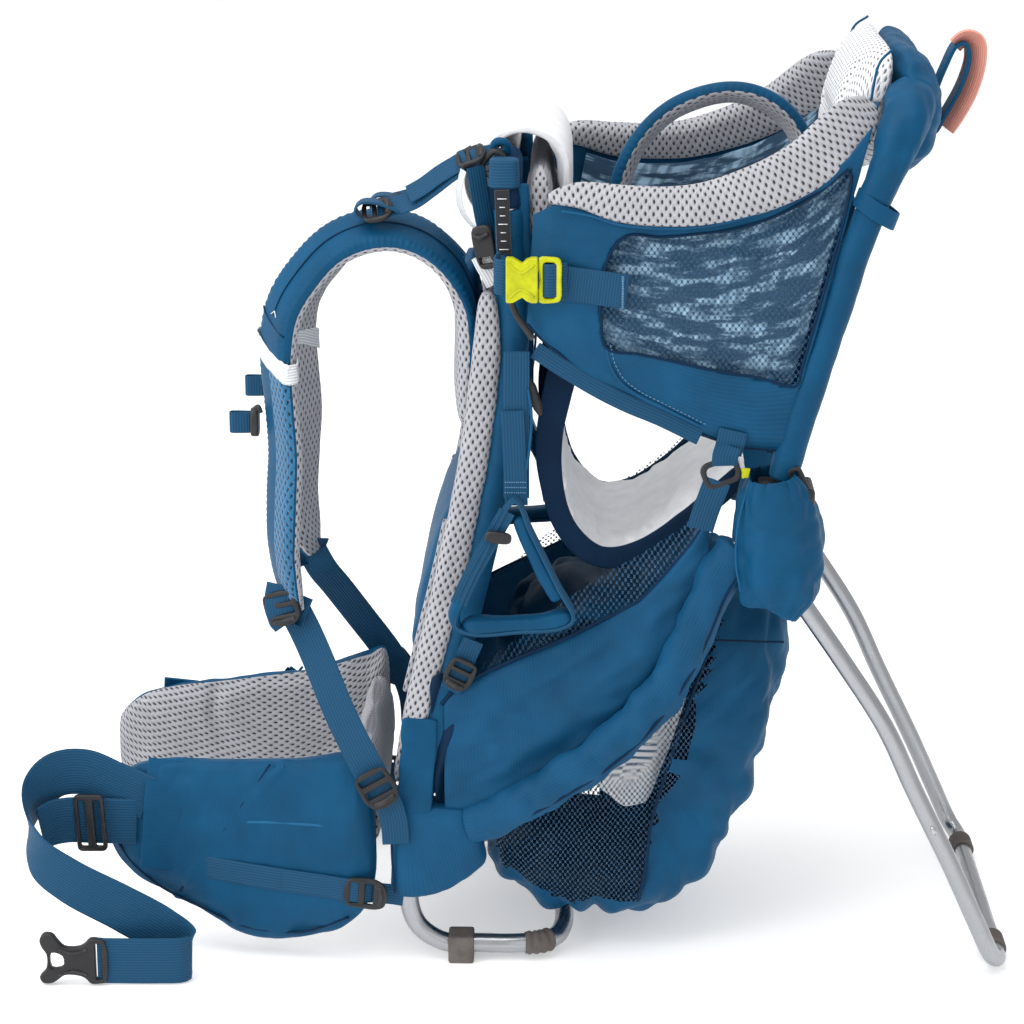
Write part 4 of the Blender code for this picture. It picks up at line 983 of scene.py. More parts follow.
def build_top():
    """The drool pad over the crossbar, the chest pad behind it and the strips beside them."""
    outer = 0.0345
    rows = [(0.002 - outer + 0.0045, 0.0, 0.597, 0.140, 0.0050),
            (0.002 - outer + 0.0045, 0.0, 0.603, 0.152, 0.0085)]
    for k in range(13):
        a = math.radians(-4 + 15.6 * k)
        rows.append((0.002 - (outer - 0.0045) * math.cos(a), 0.0, 0.6195 + (outer - 0.0045) * math.sin(a),
                     0.156, 0.0092))
    rows += [(0.002 + outer - 0.0045, 0.0, 0.598, 0.152, 0.0085),
             (0.002 + outer - 0.0045, 0.0, 0.5905, 0.140, 0.0050)]
    rows = even(smooth(rows, 4), 0.0028)
    grid = sections(rows, ALONG_Y, 56, 0.42)
    obj = grid_object("drool_pad", grid, ["white"])
    puff(obj, 2.0, 0.0016, shrink=-0.02)
    placed(obj, "white", replaces=("chin_pad",), levels=1)
    rows = []
    for z, deep, wide in ((0.503, 0.008, 0.190), (0.506, 0.015, 0.210), (0.54, 0.0205, 0.222),
                          (0.590, 0.0215, 0.223), (0.594, 0.0175, 0.2215),
                          (0.598, 0.0210, 0.222), (0.610, 0.0205, 0.218), (0.619, 0.0150, 0.208),
                          (0.6225, 0.007, 0.190)):
        rows.append((upright_x(z) + 0.0232, 0.0, z, wide, deep))
    rows = even(smooth(rows, 8), 0.0028)
    grid = sections(rows, ALONG_Y, 56, 0.40)
    obj = grid_object("chest_cushion", grid, ["mesh"])
    puff(obj, 2.5, 0.0018, lambda p: abs(p.z - 0.594) < 0.0022)
    placed(obj, "mesh", replaces=("chest_pad",), levels=1)
    for side, s in SIDES:
        edge = route([(upright_x(z) + 0.0105, s * 0.1130, z) for z in (0.512, 0.55, 0.59, 0.616)], 0.004)
        rows = np.column_stack([edge, np.full(len(edge), 0.0095), np.full(len(edge), 0.0060)])
        placed(grid_object("chest_binding_" + side, sections(rows, (1, 0, 0), 12, 0.6), ["blue_plain"]),
               "blue_plain", levels=1)
        y = s * (FRAME_HALF + SLEEVE_R + 0.0012)
        tape = [(upright_x(z) - 0.0045, y, z, 0.0105, 0.0012) for z in (0.565, 0.580, 0.600, 0.6125)]
        strap("size_tape_" + side, tape, 0.0105, (1.0, 0.0, 0.0), "print", spacing=0.004)
        for k in range(7):
            z = 0.5690 + 0.0062 * k
            x = upright_x(z) - 0.0045
            half = 0.0034 if k % 3 == 0 else 0.0020
            tick = [(x - half, y + s * 0.0009, z), (x, y + s * 0.0010, z), (x + half, y + s * 0.0009, z)]
            round_line("size_tick_%s_%d" % (side, k), tick, 0.00035, "tick", segments=6)
        cuff = route([(upright_x(z) - 0.0030, s * 0.1110, z) for z in (0.6125, 0.6200, 0.6290, 0.6340)],
                     0.002)
        rows = np.column_stack([cuff, np.interp(cuff[:, 2], (0.6125, 0.634), (0.0235, 0.0215)),
                                np.interp(cuff[:, 2], (0.6125, 0.634), (0.0240, 0.0180))])
        placed(grid_object("top_cuff_" + side, sections(rows, (1, 0, 0), 20, 0.6), ["web_ribbed"]),
               "web_ribbed", levels=1)


# ---------------------------------------------------------------- child's cockpit
WALL_LOW = ((0.005, 0.516), (0.018, 0.503), (0.044, 0.483), (0.073, 0.466), (0.102, 0.452), (0.132, 0.436),
            (0.161, 0.426), (0.192, 0.424))
WALL_HIGH = ((0.010, 0.596), (0.026, 0.606), (0.050, 0.600), (0.072, 0.593), (0.100, 0.591), (0.129, 0.592),
             (0.157, 0.598), (0.186, 0.608), (0.212, 0.622), (0.234, 0.640), (0.2510, 0.6630))
WINDOW = ((0.078, 0.584), (0.100, 0.583), (0.129, 0.586), (0.157, 0.590), (0.186, 0.600), (0.214, 0.616),
          (0.235, 0.631), (0.2335, 0.603), (0.2245, 0.566), (0.2150, 0.529), (0.2045, 0.487),
          (0.2010, 0.474),
          (0.174, 0.480), (0.145, 0.485), (0.116, 0.491), (0.087, 0.497), (0.063, 0.501), (0.059, 0.519),
          (0.058, 0.537), (0.060, 0.555), (0.067, 0.574))
LOWER_SEAM = ((0.063, 0.501), (0.066, 0.488), (0.073, 0.476), (0.086, 0.466), (0.102, 0.458),
              (0.132, 0.443))
BULGE = ((0.0, 0.131), (0.06, 0.138), (0.2, 0.1425), (0.5, 0.1465), (0.8, 0.1465), (1.0, 0.1425))


def inside(x, z, ring):
    """Whether a point lies in a closed outline."""
    found = False
    for (x0, z0), (x1, z1) in zip(ring, ring[1:] + ring[:1]):
        if (z0 > z) != (z1 > z) and x < (x1 - x0) * (z - z0) / (z1 - z0) + x0:
            found = not found
    return found


def wall_line(points, at):
    """A place along a wall's edge, at a share of its length."""
    rows = np.array([(x, 0.0, z) for x, z in points])
    along = distances(rows) / distances(rows)[-1]
    return np.interp(at, along, rows[:, 0]), np.interp(at, along, rows[:, 2])


def wall_y(x, z):
    """How far the cockpit wall stands out at a place."""
    u = (x - 0.008) / 0.235
    v = (z - 0.45) / 0.15
    return table(BULGE, u) + 0.0040 * math.sin(math.pi * min(1.0, max(0.0, v))) - 0.0015


def build_cockpit():
    window = [(x, z) for x, _, z in route([(x, 0.0, z) for x, z in WINDOW], 0.004, closed=True)[:-1]]
    ring = np.array(window)
    for side, s in SIDES:
        columns, rows = 96, 56
        grid = np.zeros((rows, columns, 3))
        for j, u in enumerate(np.linspace(0, 1, columns)):
            (x0, z0), (x1, z1) = wall_line(WALL_LOW, u), wall_line(WALL_HIGH, u)
            for i, v in enumerate(np.linspace(0, 1, rows)):
                x, z = x0 + (x1 - x0) * v, z0 + (z1 - z0) * v
                gap = ring - (x, z)
                near = ring[np.argmin((gap ** 2).sum(axis=1))]
                if np.hypot(*(near - (x, z))) < 0.0014:
                    x, z = near
                grid[i, j] = (x, 0.0, z)
        for index in np.ndindex(rows, columns):
            x, _, z = grid[index]
            fold = 0.0022 * noise.noise(Vector((x * 30, s * 3.0, z * 55)))
            crease = (x - 0.030 - (0.56 - z) * 0.25) / 0.010
            fold += 0.0030 * math.exp(-crease ** 2) * math.exp(-((z - 0.515) / 0.02) ** 2)
            edge = min(1.0, (z - grid[0, index[1], 2]) / 0.010)
            grid[index][1] = s * (wall_y(x, z) + fold - 0.0045 * (1 - edge) ** 2)
        centre = lambda i, j: grid[i:i + 2, j:j + 2].mean(axis=(0, 1))
        is_net = {(i, j) for i in range(rows - 1) for j in range(columns - 1)
                  if inside(centre(i, j)[0], centre(i, j)[2], window)}
        obj = grid_object("cockpit_wall_" + side, grid, ["blue"],
                          lambda i, j: None if (i, j) in is_net else 0, wrap=False)
        cloth(placed(obj, "blue", replaces=("cockpit_panel_" + side,), thick=0.0016), grid, "stretched",
              1 - len(is_net) / ((rows - 1) * (columns - 1)))
        obj = grid_object("cockpit_net_" + side, grid, ["net"],
                          lambda i, j: 0 if (i, j) in is_net else None, wrap=False, flat_zones=(0,))
        placed(obj, "net")
        on_wall = lambda points, lift=0.0012: [(x, s * (wall_y(x, z) + lift), z) for x, z in points]
        round_line("window_seam_" + side, route(on_wall(window), 0.003, closed=True), 0.0011, "navy",
                   segments=8, closed=True)
        seam = route(on_wall(LOWER_SEAM), 0.003)
        round_line("lower_seam_" + side, seam, 0.0009, "binding", segments=8)
        stitches("lower_stitches_" + side, route(on_wall([(x + 0.003, z + 0.002) for x, z in LOWER_SEAM],
                0.0016), 0.003), (0, s, 0))
        lower = [wall_line(WALL_LOW, u) for u in np.linspace(0.0, 1.0, 14)]
        hem = [(x, s * (wall_y(x, z) - 0.0035), z) for x, z in lower]
        round_line("cockpit_hem_" + side, route(hem, 0.003), 0.0014, "navy", segments=8)
        build_liner(side, s)
        build_rim(side, s)


def build_liner(side, s):
    """The loose inner lining that shows through the net."""
    rows, columns = 46, 70
    grid = np.zeros((rows, columns, 3))
    for j, u in enumerate(np.linspace(0.16, 0.97, columns)):
        (x0, z0), (x1, z1) = wall_line(WALL_LOW, u), wall_line(WALL_HIGH, u)
        for i, v in enumerate(np.linspace(0.10, 0.97, rows)):
            x, z = x0 + (x1 - x0) * v, z0 + (z1 - z0) * v
            p = Vector((x * 14, s * 2.0, z * 62 + x * 10))
            fold = 0.0044 * (1 - 2 * abs(noise.noise(p))) + 0.0014 * noise.noise(p * 2.7)
            grid[i, j] = (x, s * (wall_y(x, z) - 0.0105 + fold * math.sin(math.pi * min(1, max(0, v)))), z)
    obj = grid_object("cockpit_liner_" + side, grid, ["lining"], wrap=False)
    cloth(placed(obj, "lining", thick=0.0009, levels=1), grid, "hung")


def build_rim(side, s):
    """The padded mesh rim on top of a cockpit wall, rising into the headrest."""
    rows = [(0.0200, 0.1335, 0.6060, 0.007, 0.009), (0.0300, 0.1355, 0.6085, 0.014, 0.0135),
            (0.0430, 0.1375, 0.6100, 0.020, 0.0155),
            (0.0700, 0.1405, 0.6060, 0.028, 0.0165), (0.1000, 0.1425, 0.6050, 0.031, 0.0165),
            (0.1290, 0.1430, 0.6070, 0.033, 0.0165),
            (0.1570, 0.1425, 0.6140, 0.036, 0.0165), (0.1850, 0.1405, 0.6245, 0.039, 0.0165),
            (0.2080, 0.1365, 0.6370, 0.041, 0.0160),
            (0.2260, 0.1310, 0.6500, 0.042, 0.0150), (0.2380, 0.1250, 0.6610, 0.038, 0.0135),
            (0.2470, 0.1195, 0.6700, 0.028, 0.0100),
            (0.2520, 0.1160, 0.6760, 0.012, 0.0050)]
    rows = even(smooth([(x, s * y, z, h, t) for x, y, z, h, t in rows], 6), 0.0030)
    upward = lambda tangent, row: (0.0, -s * 0.30, 1.0)
    grid = sections(rows, upward, 32, 0.52)
    obj = grid_object("rim_cushion_" + side, grid, ["mesh_turned"])
    puff(obj, 3.0, 0.0020)
    placed(obj, "mesh", replaces=("rim_pad_" + side,), levels=1)
    edge = [(x, s * y, z) for x, y, z in ((0.030, 0.1425, 0.6010), (0.050, 0.1460, 0.5985),
                                          (0.072, 0.1485, 0.5925), (0.100, 0.1505, 0.5905),
            (0.129, 0.1510, 0.5915), (0.157, 0.1505, 0.5975), (0.186, 0.1485, 0.6085),
            (0.214, 0.1440, 0.6255), (0.234, 0.1370, 0.6380), (0.2460, 0.1290, 0.6480),
            (0.2530, 0.1220, 0.6620), (0.2560, 0.1170, 0.6760))]
    round_line("rim_seam_" + side, route(edge, 0.003), 0.0010, "binding", segments=8)


def build_headrest():
    front = ((0.230, 0.622), (0.2295, 0.645), (0.2345, 0.668), (0.2440, 0.692), (0.2580, 0.7085),
             (0.2705, 0.7105),
             (0.2680, 0.690), (0.2630, 0.662), (0.2560, 0.6200))
    back = ((0.2600, 0.6180), (0.2665, 0.662), (0.2715, 0.690), (0.2745, 0.7105), (0.2875, 0.7070),
            (0.300, 0.688), (0.3035, 0.662),
            (0.2985, 0.636), (0.284, 0.618))
    for name, outline, half, look, node_name in (("headrest_cushion", front, 0.101, "mesh_white",
                                                  "headrest_pad"),
                                                 ("headrest_shell", back, 0.110, "blue_plain",
                                                  "headrest_cover")):
        ring = route([(x, 0.0, z) for x, z in outline], 0.0045, closed=True)[:-1]
        middle = ring.mean(axis=0)
        grid = []
        for y in np.linspace(-1, 1, 56):
            full = (1 - abs(y) ** 5.0) ** 0.5 if abs(y) < 1 else 0.0
            full = 0.30 + 0.70 * full
            ring_y = middle + (ring - middle) * full
            ring_y[:, 1] = y * half
            ring_y[:, 0] += 0.006 * abs(y) ** 3
            grid.append(ring_y)
        grid = np.array(grid)
        if look == "mesh_white":
            sideways = np.abs(grid[:, :, 1])
            channel = np.exp(-((sideways - 0.060) / 0.004) ** 2)
            channel = channel + np.exp(-((grid[:, :, 2] - 0.655) / 0.004) ** 2) * (sideways < 0.06)
            grid[:, :, 0] += 0.0032 * channel * (grid[:, :, 0] < middle[0])
        else:
            grid = crumple(grid, 0.0042, 42.0, 41, stretch=(0.7, 0.45, 2.0))
            grid[:, :, 0] = np.minimum(grid[:, :, 0], 0.3045)
        obj = grid_object(name, grid, [look])
        puff(obj, 3.0, 0.0025)
        placed(obj, look, replaces=(node_name,), levels=1)
    for side, s in SIDES:
        seam = route([(0.2455, s * 0.1000, 0.630), (0.2500, s * 0.1030, 0.655), (0.2530, s * 0.1040, 0.680),
                      (0.2580, s * 0.1010, 0.702), (0.2680, s * 0.094, 0.711)], 0.003)
        round_line("headrest_seam_" + side, seam, 0.0010, "binding", segments=8)
        path = hoop_path()
        path = path[(path[:, 1] * s > 0.090) & (path[:, 2] > 0.606)]
        swell = np.interp(path[:, 2], (0.606, 0.622, 0.650, 0.6725), (0.0122, 0.0132, 0.0160, 0.0190))
        rows = np.column_stack([path, 2 * swell, 2 * swell])
        grid = crumple(sections(rows, (1.0, 0.0, 0.0), 30, 0.9), 0.0042, 46.0, 45 + s,
                       stretch=(1.0, 0.6, 0.6))
        grid[:, :, 1] = np.clip(grid[:, :, 1] * s, 0.0, 0.1565) * s
        placed(grid_object("headrest_shoulder_" + side, grid, ["blue_plain"]), "blue_plain", levels=1)
        turn = np.linspace(0, 2 * math.pi, 30, endpoint=False)
        reach = 0.0143
        tie = [(hoop_x(0.606) + reach * math.cos(a) + 0.002, s * HOOP_HALF + reach * math.sin(a),
                0.603 - 0.009 * math.cos(a), 0.0130, 0.0014) for a in turn]
        strap("headrest_tie_" + side, tie, 0.013, (0.35, 0.0, 1.0), "blue_plain", spacing=0.002,
              closed=True)


def build_seat():
    """The seat sling between the legs, the seat back and the child's shoulder pad."""
    sling = [(0.034, 0.470), (0.024, 0.430), (0.023, 0.390), (0.034, 0.350), (0.060, 0.325), (0.092, 0.330),
             (0.128, 0.356), (0.158, 0.385), (0.170, 0.396)]
    wide = (0.188, 0.192, 0.192, 0.188, 0.178, 0.174, 0.178, 0.188, 0.186)
    rows = even(smooth([(x, 0.0, z, w, 0.0125) for (x, z), w in zip(sling, wide)], 6), 0.0035)
    grid = sections(rows, ALONG_Y, 72, 0.30)
    grid = crumple(grid, 0.0048, 40.0, 51, stretch=(1.7, 0.55, 1.7),
                   mask=np.clip(np.abs(grid[:, :, 1]) / 0.05, 0.35, 1.0))
    obj = grid_object("seat_sling_padding", grid, ["white"])
    puff(obj, 1.5, 0.003, shrink=-0.02)
    placed(obj, "white", replaces=("seat_sling",), levels=1)
    for side, s in SIDES:
        edge = [(row[0], s * (row[3] / 2 + 0.0022), row[2]) for row in rows[1:-1:2]]
        along = np.array(edge)
        band_rows = np.column_stack([along, np.full(len(along), 0.0170), np.full(len(along), 0.0062)])
        below = tangents(along)
        grid = sections(band_rows, np.cross(below, (0.0, 1.0, 0.0)), 14, 0.5)
        grid = crumple(grid, 0.0010, 60.0, 53 + s)
        placed(grid_object("sling_binding_" + side, grid, ["navy"]), "navy", levels=1)
        # Painted shade: the sling's front edges take the dark navy cloth in place of the blue outer fabric
        # in shadow.
        leg = [(0.0360, s * 0.1000, 0.492, 0.022, 0.004), (0.0270, s * 0.1010, 0.455, 0.022, 0.004),
               (0.0200, s * 0.1000, 0.410, 0.018, 0.004), (0.0230, s * 0.0990, 0.372, 0.012, 0.004)]
        strap("sling_edge_" + side, leg, 0.02, (1.0, 0.0, 0.25), "navy", spacing=0.004)
    back = ((0.412, 0.236, 0.004), (0.416, 0.246, 0.009), (0.46, 0.250, 0.0105), (0.56, 0.250, 0.0105),
            (0.603, 0.246, 0.009), (0.608, 0.236, 0.004))
    rows = even([(hoop_x(z) - 0.0125, 0.0, z, w, t) for z, w, t in back], 0.006)
    grid = crumple(sections(rows, ALONG_Y, 56, 0.25), 0.0015, 26.0, 55)
    obj = grid_object("seat_back_cushion", grid, ["blue_plain"])
    placed(obj, "blue_plain", replaces=("seat_back",), levels=1)
    arch = [(0.069, 0.530), (0.070, 0.570), (0.075, 0.606), (0.089, 0.635), (0.113, 0.6575),
            (0.145, 0.6690),
            (0.170, 0.6680), (0.193, 0.656), (0.208, 0.636), (0.2145, 0.609), (0.2140, 0.580)]
    rows = even(smooth([(x, -0.030, z, 0.044, 0.0125) for x, z in arch], 8), 0.0016)
    def flared(tangent, _row):
        turn = math.radians(6 + 12 * abs(tangent.x))
        return Vector((tangent.z * math.sin(turn), math.cos(turn), -tangent.x * math.sin(turn)))
    grid = sections(rows, flared, 28, 0.55)
    x, y = oval(28, 0.55)
    pinch = np.exp(-((y - 0.15) / 0.22) ** 2) * (np.abs(x) > 0.6)
    ticks = 0.0010 * np.sin(distances(rows) * 2 * math.pi / 0.0052)[:, None] * pinch[None, :]
    grid = grid + surface_normals(grid, True) * (ticks - 0.0006 * pinch[None, :])[..., None]
    obj = grid_object("child_shoulder_pad", grid, ["blue_plain", "mesh"], lambda i,
                      j: 1 if (y[j] + y[(j + 1) % 28]) / 2 > 0.30 else 0)
    puff(obj, 2.0, 0.0012)
    placed(obj, "blue_plain", replaces=("harness_pad",), levels=1)


# ---------------------------------------------------------------- side panels and storage bag
PANEL_TOP = ((-0.060, 0.216), (-0.049, 0.229), (-0.030, 0.241), (0.0, 0.256), (0.030, 0.270),
             (0.060, 0.286),
             (0.090, 0.304), (0.110, 0.326), (0.130, 0.352), (0.141, 0.372))
PANEL_LOW = ((-0.060, 0.131), (-0.030, 0.131), (0.000, 0.151), (0.031, 0.174), (0.061, 0.198),
             (0.091, 0.231),
             (0.113, 0.268), (0.127, 0.300), (0.137, 0.332), (0.141, 0.345))
NET_TOP = ((-0.045, 0.222), (-0.030, 0.240), (0.0, 0.262), (0.030, 0.289), (0.060, 0.312), (0.090, 0.330),
           (0.119, 0.350), (0.140, 0.372))


def build_side_panels():
    for side, s in SIDES:
        grid = []
        for v in np.linspace(0, 1, 26):
            row = []
            for x in np.linspace(-0.058, 0.141, 60):
                low, high = table(PANEL_LOW, x), table(PANEL_TOP, x)
                z = low + (high - low) * v
                u = (x + 0.058) / 0.199
                crease = 1 - 2 * abs(noise.noise(Vector((x * 9 + z * 6, s, z * 34 - x * 20))))
                small = noise.noise(Vector((x * 50, s, z * 60)))
                fold = 0.0088 * (0.7 * crease + 0.3 * small - 0.4) * math.sin(math.pi * v) ** 0.5
                swell = 0.0045 * math.sin(math.pi * v) * math.sin(math.pi * min(1, max(0, u)))
                row.append((x, s * (0.1232 + 0.0115 * u + swell + fold - 0.006 * (v > 0.97)), z))
            grid.append(row)
        obj = grid_object("side_wall_" + side, np.array(grid), ["blue_turned"], wrap=False)
        cloth(placed(obj, "blue", replaces=("side_panel_" + side,), thick=0.0018, levels=1), grid,
              "stretched")
        hem = [(x, s * (0.1232 + 0.0115 * (x + 0.058) / 0.199 - 0.002), z) for x, z in PANEL_TOP]
        round_line("side_hem_" + side, route(hem, 0.003), 0.0015, "navy", segments=8)
        grid = []
        for v in np.linspace(0, 1, 12):
            row = []
            for x in np.linspace(-0.044, 0.139, 56):
                low, high = table(PANEL_TOP, x) - 0.004, table(NET_TOP, x) + 0.004
                u = (x + 0.058) / 0.199
                fold = 0.0030 * noise.noise(Vector((x * 40, s, v * 3)))
                row.append((x, s * (0.1195 + 0.0115 * u - 0.016 * v ** 1.5 + fold),
                            low + (max(high, low + 0.004) - low) * v))
            grid.append(row)
        obj = grid_object("side_net_" + side, np.array(grid), ["net"], wrap=False, flat_zones=(0,))
        cloth(placed(obj, "net"), grid, "hung")


def build_bag():
    """The storage bag: a sagging shell with net sides, a plain rear panel and a ribbed strip behind."""
    outline = [(-0.024, 0.072), (-0.010, 0.049), (0.014, 0.036), (0.055, 0.0270), (0.098, 0.0290),
               (0.134, 0.050),
               (0.161, 0.086), (0.186, 0.140), (0.201, 0.200), (0.207, 0.250), (0.203, 0.284),
               (0.165, 0.293),
               (0.095, 0.285), (0.030, 0.268), (-0.018, 0.228), (-0.026, 0.150)]
    ring = route([(x, 0.0, z) for x, z in outline], 0.0042, closed=True)[:-1]
    middle = np.array((0.085, 0.0, 0.175))
    net = [(-0.030, 0.150), (-0.016, 0.078), (0.030, 0.048), (0.094, 0.050), (0.099, 0.099), (0.106, 0.141),
           (0.120, 0.182), (0.132, 0.223), (0.146, 0.264), (0.155, 0.300), (0.05, 0.31), (-0.040, 0.24)]
    grid = []
    for k in range(-25, 26):
        t = math.sin(k / 25 * math.pi / 2)
        full = (1 - abs(t) ** 6) ** 0.42 if abs(k) < 25 else 0.0
        ring_y = middle + (ring - middle) * (0.16 + 0.84 * full)
        ring_y[:, 1] = math.copysign(0.110 * abs(t) ** 0.62, t)
        grid.append(ring_y)
    grid = np.array(grid)
    grid = crumple(grid, 0.0100, 22.0, 61, stretch=(1.6, 0.7, 0.7))
    grid[:, :, 1] = np.clip(grid[:, :, 1], -0.1165, 0.1165)
    centres = (grid + np.roll(grid, -1, axis=1)) / 2
    def zone(i, j):
        x, y, z = centres[i, j]
        if abs(y) > 0.088 and inside(x, z, net):
            return 1
        return 2 if x > 0.10 and abs(y) < 0.085 else 0
    obj = grid_object("storage_bag_shell", grid, ["blue_plain", "net_fine", "blue"], zone, flat_zones=(1,))
    puff(obj, 1.2, 0.005, shrink=-0.03)
    placed(obj, "blue", replaces=("storage_bag",), levels=1)
    for side, s in SIDES:
        seam = route([(x, s * y, z) for x, y, z in ((0.092, 0.1065, 0.048), (0.097, 0.1110, 0.075),
                                                    (0.102, 0.1135, 0.120), (0.114, 0.1140, 0.165),
                                                    (0.128, 0.1140, 0.213), (0.142, 0.1130, 0.256),
                                                    (0.150, 0.111, 0.286))], 0.003)
        round_line("bag_seam_" + side, seam, 0.0013, "navy", segments=8)
    for side, s in SIDES:
        grid = []
        for v in np.linspace(0, 1, 20):
            row = []
            for x in np.linspace(0.010, 0.128, 34):
                low = table(((0.010, 0.172), (0.045, 0.150), (0.080, 0.118), (0.100, 0.122), (0.115, 0.165),
                             (0.128, 0.21)), x)
                high = table(PANEL_LOW, x) - 0.040
                fold = 0.006 * noise.noise(Vector((x * 42, s, v * 3)))
                row.append((x, s * (0.084 + fold), low + max(0.004, high - low) * v))
            grid.append(row)
        obj = placed(grid_object("bag_lining_" + side, np.array(grid), ["white"], wrap=False), "white",
                     thick=0.0010, levels=1)
        cloth(obj, grid, "hung", 0.80)
        seam = route([(x, s * 0.1150, z) for x, z in ((0.147, 0.267), (0.165, 0.2665), (0.185, 0.266),
                                                      (0.200, 0.266))], 0.003)
        round_line("bag_band_seam_" + side, seam, 0.0010, "navy", segments=8)


# ---------------------------------------------------------------- buckles
def hollow_body(name, matrix, length, width, thick, wall, waist, look, body="frame", replaces=()):
    """A moulded socket, open at its far end, its sides drawn in at the waist. X runs from the closed end."""
    ring = 48
    x, y = oval(ring, 0.22)
    profile = [(0.0, 0.0009), (0.0009, 0.0), (length * 0.22, 0.0), (length * 0.40, 0.0),
               (length * 0.52, 0.0),
               (length * 0.64, 0.0), (length * 0.80, 0.0), (length - 0.0008, 0.0), (length, 0.0007),
               (length, wall - 0.0005), (length - 0.0006, wall), (length * 0.60, wall), (0.0030, wall),
               (0.0012, wall + 0.0002)]
    grid = np.zeros((ring, len(profile), 3))
    for k, (along, inset) in enumerate(profile):
        pull = waist * math.exp(-((along - length * 0.50) / (length * 0.14)) ** 2)
        for j in range(ring):
            place = matrix @ Vector((along, x[j] * (width / 2 - inset - pull), y[j] * (thick / 2 - inset)))
            grid[j, k] = place
    obj = placed(grid_object(name, grid, [look], close=True), look, body, replaces, sharp=35)
    end = matrix @ Matrix.Translation((0.0020, 0.0, 0.0)) @ Matrix.Rotation(math.pi / 2, 4, "Y")
    moulding(name + "_end", rounded(thick - 2 * wall + 0.0004, width - 2 * wall + 0.0004, 0.0006), [],
             0.0028,
             end, look, body, edge=0.0004)
    return obj


def build_side_buckle():
    x, y, z = SIDE_BUCKLE
    matrix = axes((x - 0.0100, y, z), (1.0, 0.0, 0.0), (0.0, -1.0, 0.0))
    hollow_body("side_buckle_socket", matrix, 0.023, 0.033, 0.0098, 0.0017, 0.0042, "lime",
                replaces=("side_buckle_female",))
    ridge = [(-0.0075, 0.0125), (0.001, 0.0060), (0.0105, 0.0118)]
    for sign in (-1, 1):
        line = smooth([(x + a, y - 0.0050, z + sign * b) for a, b in ridge], 6)
        round_line("side_buckle_rib_%d" % (sign + 1), line, 0.0008, "lime", segments=8)
    male = axes((x, y, z), (1.0, 0.0, 0.0), (0.0, -1.0, 0.0))
    frame_ring = soft_outline([(0.0138, -0.0160), (0.0220, -0.0168), (0.0292, -0.0150), (0.0300, 0.0),
                               (0.0292, 0.0150), (0.0220, 0.0168), (0.0138, 0.0160), (0.0142, 0.0)])
    moulding("side_buckle_loop", frame_ring, [rounded(0.0088, 0.0262, 0.0020, 4, (0.0212, 0.0))], 0.0056,
             male, "lime", "side_buckle_male", ("side_buckle_male",), edge=0.0013)
    for sign in (-1, 1):
        prong = rounded(0.0185, 0.0050, 0.0014, 3, (0.0062, sign * 0.0090))
        moulding("side_buckle_prong_%d" % (sign + 1), prong, [], 0.0040, male, "lime", "side_buckle_male",
                 edge=0.0008)
    fold = [(0.0262, -0.0022), (0.0215, -0.0036), (0.0185, -0.0030), (0.0172, 0.0), (0.0185, 0.0030),
            (0.0225, 0.0036), (0.0275, 0.0030), (0.0340, 0.0022)]
    strap("side_buckle_fold", [(x + a, y + b, z, 0.0245, 0.0014) for a, b in fold], WEB_SHOULDER,
          (0, 0, 1.0), "web", "side_buckle_male", spacing=0.0012)
    rear = [(x + 0.0300, y + 0.0056), (x + 0.0450, y + 0.0052), (x + 0.0620, y + 0.0036),
            (x + 0.0755, y + 0.0024), (x + 0.0775, y + 0.0030)]
    strap("side_buckle_rear_web", [(a, b, z - 0.009 * (a - x) / 0.077, 0.0255, 0.0016) for a, b in rear],
          WEB_SHOULDER, (0.10, 0, 1.0), "web_ribbed", spacing=0.002)
    bar = [(x + 0.0742, y + 0.0008, z - 0.009 + h) for h in np.linspace(-0.0115, 0.0115, 12)]
    stitches("side_buckle_bartack", bar, (0, -1, 0), "thread", pitch=0.0012, length=0.0009, width=0.0016)
    front = [(x - 0.0092, y + 0.0005, z + 0.0010), (x - 0.0130, y + 0.0002, z + 0.0016),
             (x - 0.0170, y + 0.0022, z + 0.0020), (x - 0.0178, y + 0.0120, z + 0.0022),
             (x - 0.0150, y + 0.0260, z + 0.0022)]
    strap("side_buckle_front_web", [(*p, 0.0262, 0.0022) for p in front], WEB_SHOULDER, (0.0, 0.0, 1.0),
          "web", spacing=0.0015)
    cord_path = route([(-0.0065, -0.1425, 0.5350), (-0.0025, -0.1440, 0.5250), (0.0035, -0.1445, 0.5160),
                       (0.0095, -0.1445, 0.5075)], 0.002)
    cord = round_line("zip_cord_left", cord_path, 0.0024, "black", segments=12)
    pull = route([(0.0050, -0.1300, 0.4770), (0.0095, -0.1320, 0.4640), (0.0150, -0.1325, 0.4470)], 0.002)
    round_line("zip_pull", pull, np.interp(np.linspace(0, 1, len(pull)), (0, 0.3, 0.8, 1),
                                           (0.0015, 0.0040, 0.0036, 0.0014)), "black", segments=14)
    long = float(distances(cord_path)[-1])


